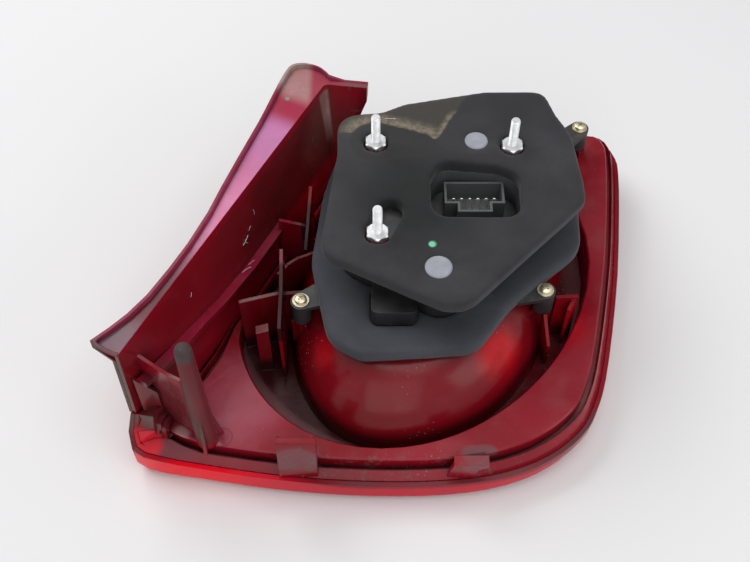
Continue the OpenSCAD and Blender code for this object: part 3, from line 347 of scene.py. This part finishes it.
def foam(name, dark, light, dusty):
    s = Shader(name)
    x, y, z = s.xyz()
    up = s.xyz(s.normal())[2]
    pores = s.cells(1500)
    grain = s.noise(900, 5, 0.7)
    base = s.mix(s.ramp(s.noise(18, 5, 0.6), 0.3, 0.72), dark, light)
    base = s.mix(s.ramp(pores, 0.12, 0.32, 0.35, 0.0), base, (0.008, 0.008, 0.009))
    lintish = s.math("MULTIPLY", s.ramp(grain, 0.60, 0.74), s.ramp(up, 0.2, 0.9, 0.25, 1.0))
    base = s.mix(s.math("MULTIPLY", lintish, 0.28), base, (0.20, 0.19, 0.19))
    worn = s.ramp(s.noise(11, 3, 0.5, stretch=(1, 2.2, 1)), 0.56, 0.74, 0, 0.22)
    base = s.mix(worn, base, tuple(c * 2.1 for c in light))
    if dusty:
        # Painted shade: darker in the middle, where the foam catches less of the soft reflections
        painted_shade_middle = s.times(s.near((14, 4, 115), 34, 26), s.ramp(s.noise(20, 3), 0.3, 0.7, 0.65, 0.95))
        base = s.mix(painted_shade_middle, base, (0.010, 0.011, 0.011))
        # Print of the body's bracket round the upper left stud, smooth and a little greener
        print_at = ((-11, 53, 17), (-4, 52.3, 15.5), (3, 51.7, 14), (10, 51, 12.3), (17, 50.3, 10.5))
        print_mark, skirted = None, None
        for px, py, r in print_at:
            one, wider = s.column((px, py), r, 1.2), s.column((px, py), r + 6.5, 5)
            print_mark = one if print_mark is None else s.math("MAXIMUM", print_mark, one)
            skirted = wider if skirted is None else s.math("MAXIMUM", skirted, wider)
        top = s.times(s.ramp(up, 0.1, 0.6), s.ramp(z, 0.110, 0.114))
        base = s.mix(s.times(print_mark, top, s.ramp(s.noise(30, 4), 0.3, 0.7, 0.35, 0.7)), base, (0.026, 0.028, 0.024))
        # Dust above it in a wedge, brownish grey with a tan edge along the print and down the right side
        ragged = s.math("ADD", s.math("MULTIPLY", s.noise(160, 5, 0.7), 0.004), -0.002)
        side = s.math("ADD", s.along(Vector((-0.884, 0.468, 0)), Vector((0.0282, 0.0537, 0)).dot(Vector((-0.884, 0.468, 0)))), ragged)
        above = s.math("SUBTRACT", s.math("ADD", s.math("ADD", y, s.math("MULTIPLY", x, 0.1)), ragged), 0.0580)
        wedge = s.times(s.ramp(side, -0.0008, 0.0012), s.ramp(above, -0.001, 0.001), s.math("SUBTRACT", 1.0, print_mark), s.ramp(z, 0.106, 0.110))
        tan = s.math("MAXIMUM", s.times(s.ramp(side, 0.005, 0.001), s.ramp(y, 0.083, 0.074)), skirted)
        tan = s.math("MULTIPLY", tan, s.ramp(s.noise(260, 8, 0.8), 0.36, 0.62, 0.25, 1.0))
        base = s.mix(s.math("MULTIPLY", wedge, 0.75), base, (0.055, 0.050, 0.040))
        base = s.mix(s.times(wedge, tan, 0.9), base, (0.250, 0.205, 0.150))
        dab = s.near((22.9, -31.2, 115), 2.5, 0.35)
        base = s.mix(dab, base, s.mix(s.near((22.6, -31.4, 115), 1.9, 0.5), (0.05, 0.27, 0.14), (0.21, 0.56, 0.37)))
    rough = s.ramp(grain, 0.3, 0.7, 0.72, 0.9)
    height = s.math("SUBTRACT", s.math("MULTIPLY", grain, 0.6), s.math("MULTIPLY", s.ramp(pores, 0.1, 0.35, 1, 0), 0.7))
    s.set(Base_Color=base, Roughness=rough, Normal=s.bump(height, 0.00016, 0.6))
    s.set(IOR=1.45, Specular_IOR_Level=0.2, Sheen_Weight=0.12, Sheen_Roughness=0.5)
    return s.mat


def black_plastic():
    s = Shader("moulded_black_plastic")
    up = s.xyz(s.normal())[2]
    base = s.mix(s.ramp(s.noise(30, 4), 0.3, 0.7), (0.016, 0.016, 0.018), (0.030, 0.030, 0.032))
    # The shroud of the connector is a lighter grade than the holder; the latch under the foam is darkened with painted
    # shade from the foam over it
    shroud = s.near((52, 24, 98), 27, 4)
    base = s.mix(s.math("MULTIPLY", shroud, 0.85), base, (0.105, 0.110, 0.113))
    shaded_latch = s.near((1, -51, 78), 20, 5)
    base = s.mix(s.math("MULTIPLY", shaded_latch, 0.7), base, (0.010, 0.010, 0.011))
    dust = s.times(s.ramp(up, 0.3, 0.95), s.ramp(s.noise(75, 6, 0.65), 0.45, 0.75, 0.0, 0.36), s.math("SUBTRACT", 1.0, s.math("MULTIPLY", shaded_latch, 0.7)))
    base = s.mix(dust, base, (0.155, 0.135, 0.12))
    base = s.mix(s.math("MULTIPLY", s.crevice(0.006), s.ramp(s.noise(110, 4), 0.4, 0.7, 0.0, 0.4)), base, (0.060, 0.050, 0.043))
    grain = s.noise(620, 3, 0.6)
    rough = s.math("ADD", s.ramp(s.noise(50, 5), 0.3, 0.7, 0.34, 0.52), s.math("MULTIPLY", dust, 0.4))
    s.set(Base_Color=base, Roughness=rough, Normal=s.bump(grain, 0.00004, 0.6, s.rounded(0.0004)))
    s.set(IOR=1.5)
    return s.mat


def grey_plastic():
    s = Shader("moulded_grey_plastic")
    base = s.mix(s.ramp(s.noise(95, 4), 0.3, 0.7), (0.27, 0.285, 0.325), (0.34, 0.355, 0.395))
    base = s.mix(s.ramp(s.noise(260, 6, 0.7), 0.55, 0.75, 0.0, 0.4), base, (0.17, 0.16, 0.16))
    s.set(Base_Color=base, Roughness=s.ramp(s.noise(150, 4), 0.3, 0.7, 0.38, 0.58), Normal=s.bump(s.noise(500, 3), 0.00005, 0.5, s.rounded(0.0004)))
    s.set(IOR=1.5)
    return s.mat


def metal(name, light, dark, rough_lo, rough_hi, stain, stain_share):
    s = Shader(name)
    base = s.mix(s.ramp(s.noise(210, 5, 0.6), 0.3, 0.7), light, dark)
    base = s.mix(s.ramp(s.noise(330, 6, 0.7), 0.58, 0.74, 0.0, stain_share), base, stain)
    s.set(Base_Color=base, Roughness=s.ramp(s.noise(420, 5, 0.65), 0.3, 0.7, rough_lo, rough_hi))
    s.set(Metallic=1.0, Normal=s.bump(s.noise(1300, 3, 0.6), 0.00003, 0.6, s.rounded(0.00025)))
    return s.mat


def mirror_coat():
    s = Shader("metallised_bowl")
    base = s.mix(s.ramp(s.noise(40, 4), 0.3, 0.7), (0.72, 0.72, 0.75), (0.82, 0.82, 0.84))
    s.set(Base_Color=base, Roughness=s.ramp(s.noise(90, 4), 0.3, 0.7, 0.08, 0.2), Normal=s.bump(s.noise(160, 3), 0.00004, 0.4))
    s.set(Metallic=1.0)
    return s.mat


def bulb_glass(name, tint):
    """Glass up to the shoulder and a nickel cap above it; the base is the upper end."""
    s = Shader(name)
    z = s.xyz()[2]
    cap = s.ramp(z, 0.0592, 0.0598)
    base = s.mix(cap, tint, (0.62, 0.60, 0.56))
    base = s.mix(s.ramp(s.noise(300, 5), 0.6, 0.75, 0.0, 0.3), base, (0.3, 0.27, 0.22))
    s.set(Base_Color=base, Metallic=cap, Roughness=s.ramp(s.noise(260, 4), 0.3, 0.7, 0.05, 0.24))
    s.set(IOR=1.5, Transmission_Weight=s.math("MULTIPLY", s.math("SUBTRACT", 1.0, cap), 0.85))
    return s.mat


MATERIALS = {
    "red_lens": red_lens(),
    "dark_red_plastic": housing_red(),
    "metallised_plastic": mirror_coat(),
    "black_plastic": black_plastic(),
    "contact_brass": metal("tinned_brass", (0.96, 0.96, 0.94), (0.88, 0.86, 0.80), 0.36, 0.55, (0.5, 0.44, 0.36), 0.2),
    "clear_bulb": bulb_glass("clear_bulb_glass", (0.92, 0.94, 0.95)),
    "amber_bulb": bulb_glass("amber_bulb_glass", (0.9, 0.42, 0.05)),
    "grey_foam": foam("bluish_foam", (0.041, 0.043, 0.051), (0.066, 0.069, 0.083), False),
    "black_foam": foam("charcoal_foam", (0.025, 0.025, 0.027), (0.042, 0.042, 0.045), True),
    "grey_plastic": grey_plastic(),
    "zinc_steel": metal("zinc_plate", (0.80, 0.81, 0.82), (0.68, 0.69, 0.69), 0.36, 0.54, (0.50, 0.48, 0.45), 0.3),
    "yellow_zinc": metal("passivated_zinc", (0.66, 0.60, 0.44), (0.50, 0.45, 0.33), 0.26, 0.5, (0.30, 0.25, 0.18), 0.6),
}
SLOTS = {p["node"]: p["material_slot"] for p in frame["record"]["subparts"]}
for node_name, obj in frame["nodes"].items():
    obj.data.materials.clear()
    obj.data.materials.append(MATERIALS[SLOTS[node_name]])


def new_piece(name, bm, slot, smooth=True):
    mesh = bpy.data.meshes.new(name)
    bm.to_mesh(mesh)
    bm.free()
    if smooth:
        mesh.polygons.foreach_set("use_smooth", [True] * len(mesh.polygons))
    mesh.materials.append(MATERIALS[slot])
    obj = bpy.data.objects.new(name, mesh)
    scene.collection.objects.link(obj)
    return obj


# The wing's upper corner, rounded between the stations of its loft
CORNER = (HEAD - OUT * 0.004 - ALONG * 0.004).to_2d()
LIP = [(-49.1, 24.3), (-20.0, 29.3), (-13.0, 30.5)]
LIP += [(r * math.sin(math.radians(a)), r * math.cos(math.radians(a))) for a, r in ((8, 32.2), (24, 28.2), (42, 20.2), (58, 13.2), (68, 10.4))]
END = (math.cos(math.radians(71)), -math.sin(math.radians(71)))
LIP += [(10 * math.sin(math.radians(71)) + END[0] * d, 10 * math.cos(math.radians(71)) + END[1] * d) for d in (10, 19, 26)]


def reach(points):
    """Table of polar angle and distance round the corner for a line of (along, outward) places."""
    return [(math.atan2(a, o), math.hypot(a, o)) for a, o in points]


def smooth_line(points, steps=12):
    out = []
    for i in range(1, len(points) - 2):
        p0, p1, p2, p3 = points[i - 1:i + 3]
        for k in range(steps):
            t = k / steps
            out.append(tuple(0.5 * (2 * b + (c - a) * t + (2 * a - 5 * b + 4 * c - d) * t * t + (3 * b - a - 3 * c + d) * t ** 3)
                             for a, b, c, d in zip(p0, p1, p2, p3)))
    return out


def straight_line(points, steps=12):
    return [tuple(b + (c - b) * k / steps for b, c in zip(points[i], points[i + 1])) for i in range(1, len(points) - 2) for k in range(steps)]


ROUND, FACET = reach(smooth_line(LIP)), reach(straight_line(LIP))


def look_up(table, angle):
    for (a0, r0), (a1, r1) in zip(table, table[1:]):
        if a0 <= angle <= a1:
            return r0 + (r1 - r0) * (angle - a0) / max(a1 - a0, 1e-9)
    return None


def round_corner(bm):
    near = [e for e in bm.edges if all((v.co.to_2d() - CORNER).length < 0.052 and v.co.z > 0.030
            and (v.co.to_2d() - CORNER).dot(OUT.to_2d()) > -0.012 for v in e.verts) and e.calc_length() > 0.004]
    bmesh.ops.subdivide_edges(bm, edges=near, cuts=3, use_grid_fill=False)
    for v in bm.verts:
        d = v.co.to_2d() - CORNER
        if d.length > 0.052 or v.co.z < 0.045:
            continue
        along, out = d.dot(ALONG.to_2d()) / MM, d.dot(OUT.to_2d()) / MM
        angle, r = math.atan2(along, out), math.hypot(along, out)
        new, old = look_up(ROUND, angle), look_up(FACET, angle)
        if new and old and r > 5:
            share = min(1.0, (r - 5) / max(old - 5, 1.0)) * min(1.0, (v.co.z / MM - 45) / 40)
            grow = (new - old) * share / r
            v.co.x += d.x * grow
            v.co.y += d.y * grow


def close_end(bm, place, way):
    """Clears the faces that lie in an end's plane and closes its real outline again."""
    flat = [f for f in bm.faces if abs(f.normal.dot(way)) > 0.98 and all(abs((v.co - place).dot(way)) < 6e-5 for v in f.verts)]
    edges = {e for f in flat for e in f.edges}
    bmesh.ops.delete(bm, geom=flat, context="FACES")
    rim = [e for e in edges if e.is_valid and len(e.link_faces) == 1]
    bmesh.ops.triangle_fill(bm, use_beauty=True, use_dissolve=False, edges=rim, normal=way)


def fan_flange(bm):
    """Fans the flange's long strips beside the post from one place, where the strips of its loft cross."""
    def inner(v):
        return -79 < v.co.y / MM < -63 and -97 < v.co.x / MM < -86 and v.co.z > 32.1 * MM

    def outer(v):
        return v.co.x < -137.35 * MM and 31.3 * MM < v.co.z < 31.7 * MM
    cross = [f for f in bm.faces if abs(f.normal.z) > 0.9 and any(map(inner, f.verts)) and any(map(outer, f.verts))]
    edges = {e for f in cross for e in f.edges}
    bmesh.ops.delete(bm, geom=cross, context="FACES_ONLY")
    for e in [e for e in edges if e.is_valid and not e.link_faces]:
        bm.edges.remove(e)
    loop = {}
    for e in edges:
        if e.is_valid and len(e.link_faces) == 1:
            for v in e.verts:
                loop.setdefault(v, []).append(e.other_vert(v))
    if not loop or any(len(near) != 2 for near in loop.values()):
        raise SystemExit("the flange's strips leave no single outline")
    start = min((v for v in loop if v.co.z > 32.1 * MM), key=lambda v: v.co.y)
    order, last = [start], None
    follow = next(v for v in loop[start] if v.co.z > 32.1 * MM)
    while follow is not start:
        order.append(follow)
        last, follow = order[-2], next(v for v in loop[order[-1]] if v is not order[-2])
    well = [v for v in order if v.co.z > 32.1 * MM]
    far = order[len(well):]
    hub = far[-1]
    fans = [(hub, a, b) for a, b in zip(well, well[1:])] + [(hub, well[-1], far[0])] + [(far[0], a, b) for a, b in zip(far[1:], far[2:])]
    for corners in fans:
        face = bm.faces.new(corners)
        face.normal_update()
        if face.normal.z < 0:
            face.normal_flip()


# Moulded pieces whose facets are joined into smooth skins, with their real edges kept sharp
def smooth_skin(name, node, angle):
    bm = bmesh.new()
    bm.from_mesh(frame["nodes"][node].data)
    bmesh.ops.remove_doubles(bm, verts=bm.verts, dist=2e-6)
    bmesh.ops.dissolve_degenerate(bm, edges=bm.edges, dist=2e-6)
    if node == "outer_lens":
        close_end(bm, FOOT - ALONG * 0.004007, -ALONG)
    else:
        bm.normal_update()
        fan_flange(bm)
    round_corner(bm)
    bm.normal_update()
    limit = math.radians(angle)
    for e in bm.edges:
        e.smooth = len(e.link_faces) == 2 and e.calc_face_angle(0) < limit
    obj = new_piece(name, bm, SLOTS[node])
    weigh = obj.modifiers.new("weigh", "WEIGHTED_NORMAL")
    weigh.keep_sharp = True
    weigh.mode = "FACE_AREA_WITH_ANGLE"
    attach(obj, "root")
    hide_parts(node)
    return obj


smooth_skin("housing_moulding", "housing", 34)
smooth_skin("lens_moulding", "outer_lens", 34)


# Foam seals: remeshed from their solids, softened at the edges and pressed in under the buttons
def foam_piece(name, node, voxel, dents, seed, swell):
    source = frame["nodes"][node]
    mesh = source.data.copy()
    obj = bpy.data.objects.new(name, mesh)
    scene.collection.objects.link(obj)
    weld = obj.modifiers.new("weld", "WELD")
    weld.merge_threshold = 2e-6
    grid = obj.modifiers.new("grid", "REMESH")
    grid.mode = "VOXEL"
    grid.voxel_size = voxel
    relax = obj.modifiers.new("relax", "SMOOTH")
    relax.factor = 0.5
    relax.iterations = 4
    bpy.context.view_layer.update()
    done = bpy.data.meshes.new_from_object(obj.evaluated_get(bpy.context.evaluated_depsgraph_get()))
    obj.modifiers.clear()
    obj.data = done
    bpy.data.meshes.remove(mesh)
    lo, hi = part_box(node)
    mid, half = (lo.z + hi.z) / 2, (hi.z - lo.z) / 2
    for v in done.vertices:
        p = v.co.copy()
        q = p * 28 + Vector((seed, 0, 0))
        wave = noise.noise(q) * 0.00035 + noise.noise(p * 110 + Vector((0, seed, 0))) * 0.00012
        side = max(-1.0, min(1.0, (p.z - mid) / half))
        v.co += v.normal * wave
        for cx, cy, r, depth in dents:
            d = math.hypot(p.x - cx * MM, p.y - cy * MM) / MM
            if d < r + 9 and side > 0:
                v.co.z -= depth * MM * side * (1 if d < r else (1 - (d - r) / 9) ** 2)
        v.co += Vector((v.normal.x, v.normal.y, 0)) * swell * MM * (1 - side * side)
    done.materials.clear()
    done.materials.append(MATERIALS[SLOTS[node]])
    done.polygons.foreach_set("use_smooth", [True] * len(done.polygons))
    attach(obj, "root")
    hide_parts(node)
    return obj


cell = 0.0016
foam_piece("upper_foam_seal", "upper_seal", cell, [(26, -48, 8.5, 0.5), (54, 54, 7.8, 0.45)], 3.0, 0.25)
foam_piece("lower_foam_seal", "lower_seal", cell, [], 11.0, 0.35)


# Studs with a rolled thread, a hexagon collar with a washer face, and a blunt point
def threaded_rod(bm, centre, z0, z1, major, pitch, lead_in, steps=28):
    """One skin of revolution whose radius follows the thread as it climbs."""
    depth = 0.54 * pitch
    rows = int((z1 - z0) / pitch * 6) + 1
    rings = []
    for i in range(rows + 1):
        z = z0 + (z1 - z0) * i / rows
        ring = []
        for k in range(steps):
            a = 2 * math.pi * k / steps
            turn = (z / pitch - k / steps) % 1.0
            tooth = abs(turn - 0.5) * 2
            tooth = max(0.0, min(1.0, (tooth - 0.12) / 0.72))
            r = major - depth * tooth
            r = min(r, major - depth * 0.9 + max(0.0, (z1 - z)) / lead_in * depth * 1.6)
            ring.append(bm.verts.new(((centre[0] + r * math.cos(a)) * MM, (centre[1] + r * math.sin(a)) * MM, z * MM)))
        rings.append(ring)
    for a, b in zip(rings, rings[1:]):
        for k in range(steps):
            n = (k + 1) % steps
            bm.faces.new((a[k], a[n], b[n], b[k]))
    bm.faces.new(list(reversed(rings[0])))
    bm.faces.new(rings[-1])


def collar(bm, centre, z0, height, across):
    """Hexagon with its corners turned off above and below."""
    profile = [(0.0, across / 2), (0.5, across / 1.732), (height - 0.8, across / 1.732), (height, across / 2 - 0.15)]
    rows = []
    for dz, limit in profile:
        ring = []
        for k in range(72):
            a = 2 * math.pi * k / 72
            local = (a + math.pi / 6) % (math.pi / 3) - math.pi / 6
            r = min(across / 2 / math.cos(local), limit)
            ring.append(bm.verts.new(((centre[0] + r * math.cos(a)) * MM, (centre[1] + r * math.sin(a)) * MM, (z0 + dz) * MM)))
        rows.append(ring)
    for a, b in zip(rows, rows[1:]):
        for k in range(72):
            n = (k + 1) % 72
            bm.faces.new((a[k], a[n], b[n], b[k]))
    bm.faces.new(list(reversed(rows[0])))
    bm.faces.new(rows[-1])


STUDS = {"stud_lower": (-10, -22), "stud_upper_left": (-11, 53), "stud_upper_right": (77, 50)}
for stud_name, centre in STUDS.items():
    lo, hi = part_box(stud_name)
    top, bottom = hi.z / MM, lo.z / MM
    bm = bmesh.new()
    threaded_rod(bm, centre, bottom, bottom + 15.8, 3.0, 1.6, 2.0)
    collar(bm, centre, 112, 4, 13)
    threaded_rod(bm, centre, 115.9, top, 3.0, 1.0, 1.6)
    stud = new_piece(stud_name + "_threaded", bm, "zinc_steel", smooth=False)
    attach(stud, "root")
    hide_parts(stud_name)


# A rolled edge that closes the lower end of the wing's strip, and lint caught on its walls
def strand(name, points, width, material):
    curve = bpy.data.curves.new(name, "CURVE")
    curve.dimensions = "3D"
    curve.bevel_depth = width * MM / 2
    curve.bevel_resolution = 3 if width > 1 else 1
    curve.use_fill_caps = True
    curve.resolution_u = 6
    spline = curve.splines.new("NURBS")
    spline.points.add(len(points) - 1)
    for p, q in zip(spline.points, points):
        p.co = (q[0] * MM, q[1] * MM, q[2] * MM, 1)
    spline.use_endpoint_u = True
    spline.order_u = 4
    curve.materials.append(material)
    obj = bpy.data.objects.new(name, curve)
    scene.collection.objects.link(obj)
    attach(obj, "root")
    return obj


lint = Shader("lint_fibre")
lint.set(Base_Color=lint.mix(lint.noise(600, 3), (0.62, 0.6, 0.58), (0.8, 0.79, 0.78)), Roughness=lint.ramp(lint.noise(900, 2), 0.3, 0.7, 0.8, 0.95))
lint.set(IOR=1.45)
LINT = lint.mat


def on_wall(s, z, off=0.35):
    """A place on the wing's inner wall, s mm along it and z mm up."""
    lean = -9 * (115 - z) / 82
    p = FOOT / MM + ALONG * s + OUT * (lean - off)
    return (p.x, p.y, z)


def on_strip(s, n, z):
    p = FOOT / MM + ALONG * s + OUT * n
    return (p.x, p.y, z)


rolled = strand("wing_end_lip", [on_strip(-3.2, 0.6, 114.2), on_strip(-4.0, 3, 114.4), on_strip(-4.2, 8, 115.0), on_strip(-4.2, 12, 115.8),
                                 on_strip(-4.0, 15.6, 116.6), on_strip(-2.4, 16.6, 116.9), on_strip(1.0, 14.9, 117.0)], 2.6, MATERIALS["dark_red_plastic"])
FOAM_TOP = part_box("upper_seal")[1].z / MM
LINT_PLACES = [
    [on_wall(116, 79), on_wall(118, 80.5, 0.9), on_wall(120.5, 80, 0.5), on_wall(122.5, 82.4, 0.8)],
    [on_wall(121, 76.2), on_wall(119.4, 77.6, 0.8), on_wall(118.6, 79.8, 0.5), on_wall(119.2, 81.4, 0.6)],
    [on_wall(125, 84), on_wall(126, 85.3, 0.7), on_wall(127.8, 85.6, 0.4)],
    [on_wall(60, 92), on_wall(61, 93.2, 0.8), on_wall(61.6, 94.6, 0.4)],
    [on_wall(107, 62.6, 1.5), on_wall(109, 63.6, 2.4), on_wall(112, 63.0, 3.2), on_wall(113, 63.2, 4.6)],
    [on_wall(114, 63.0, 2.0), on_wall(116, 63.8, 3.0), on_wall(119, 63.0, 3.6)],
    [on_wall(134, 90), on_wall(134.8, 92, 0.7), on_wall(134.2, 94.5, 0.5)],
    [(-5.2, 73.4, FOAM_TOP + 0.15), (-2.4, 73.1, FOAM_TOP + 0.3), (0, 73.4, FOAM_TOP + 0.3), (2.2, 73.0, FOAM_TOP + 0.15)],
]
for i, places in enumerate(LINT_PLACES):
    strand("lint_" + "abcdefgh"[i], places, (0.34, 0.3, 0.24, 0.26, 0.32, 0.26, 0.2, 0.3)[i], LINT)


# Floor, camera and lights
def studio_floor():
    s = Shader("pale_floor")
    s.set(Base_Color=s.mix(s.noise(3, 2), (0.80, 0.80, 0.805), (0.815, 0.815, 0.82)), Roughness=s.ramp(s.noise(8, 2), 0.3, 0.7, 0.75, 0.85))
    s.set(IOR=1.3)
    bm = bmesh.new()
    radius, bend = 1.4, 0.9
    rows = [(-2.6, 0.0), (radius, 0.0)]
    for k in range(1, 13):
        a = math.pi / 2 * k / 12
        rows.append((radius + bend * math.sin(a), bend * (1 - math.cos(a))))
    rows.append((radius + bend, 3.2))
    last = None
    for y, z in rows:
        pair = [bm.verts.new((x, y, z)) for x in (-3.2, 3.2)]
        if last:
            bm.faces.new((last[0], last[1], pair[1], pair[0]))
        last = pair
    mesh = bpy.data.meshes.new("floor")
    bm.to_mesh(mesh)
    bm.free()
    mesh.polygons.foreach_set("use_smooth", [True] * len(mesh.polygons))
    mesh.materials.append(s.mat)
    floor = bpy.data.objects.new("floor", mesh)
    scene.collection.objects.link(floor)
    floor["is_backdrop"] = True


studio_floor()

cam = bpy.data.cameras.new("camera")
cam.sensor_width = 36
cam.lens = 49.25
cam.clip_start, cam.clip_end = 0.01, 20
camera = bpy.data.objects.new("camera", cam)
camera.location = (-0.0115, -0.4094, 0.5979)
camera.rotation_euler = (math.radians(36), 0, 0)
scene.collection.objects.link(camera)
scene.camera = camera


def softbox(name, place, target, width, height, power, colour=(1, 1, 1)):
    light = bpy.data.lights.new(name, "AREA")
    light.shape = "RECTANGLE"
    light.size, light.size_y = width, height
    light.energy = power
    light.color = colour
    obj = bpy.data.objects.new(name, light)
    obj.location = place
    obj.rotation_euler = (Vector(target) - Vector(place)).to_track_quat("-Z", "Y").to_euler()
    scene.collection.objects.link(obj)


softbox("window", (-0.9, 0.75, 1.35), (0, 0, 0.05), 1.3, 0.9, 15)
softbox("ceiling", (0.35, -0.15, 1.7), (0, 0, 0.05), 1.4, 1.2, 10)
softbox("front", (-0.1, -1.5, 0.95), (0, 0, 0.05), 1.5, 1.4, 6.5)
softbox("fill", (1.25, -0.8, 0.8), (0, 0, 0.05), 0.7, 0.8, 3)

world = bpy.data.worlds.new("studio")
world.use_nodes = True
air = world.node_tree
air.nodes["Background"].inputs["Color"].default_value = (0.98, 0.98, 1.0, 1)
air.nodes["Background"].inputs["Strength"].default_value = 0.34
seen = air.nodes.new("ShaderNodeBackground")
seen.inputs["Color"].default_value = (0.86, 0.86, 0.865, 1)
seen.inputs["Strength"].default_value = 1.0
path, choose = air.nodes.new("ShaderNodeLightPath"), air.nodes.new("ShaderNodeMixShader")
rays = path.outputs["Is Camera Ray"]
for kind in ("Is Glossy Ray", "Is Transmission Ray"):
    either = air.nodes.new("ShaderNodeMath")
    either.operation = "MAXIMUM"
    air.links.new(rays, either.inputs[0])
    air.links.new(path.outputs[kind], either.inputs[1])
    rays = either.outputs[0]
air.links.new(rays, choose.inputs[0])
air.links.new(air.nodes["Background"].outputs[0], choose.inputs[1])
air.links.new(seen.outputs[0], choose.inputs[2])
air.links.new(choose.outputs[0], air.nodes["World Output"].inputs[0])
scene.world = world
scene.view_settings.view_transform = "Standard"

lo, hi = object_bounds()
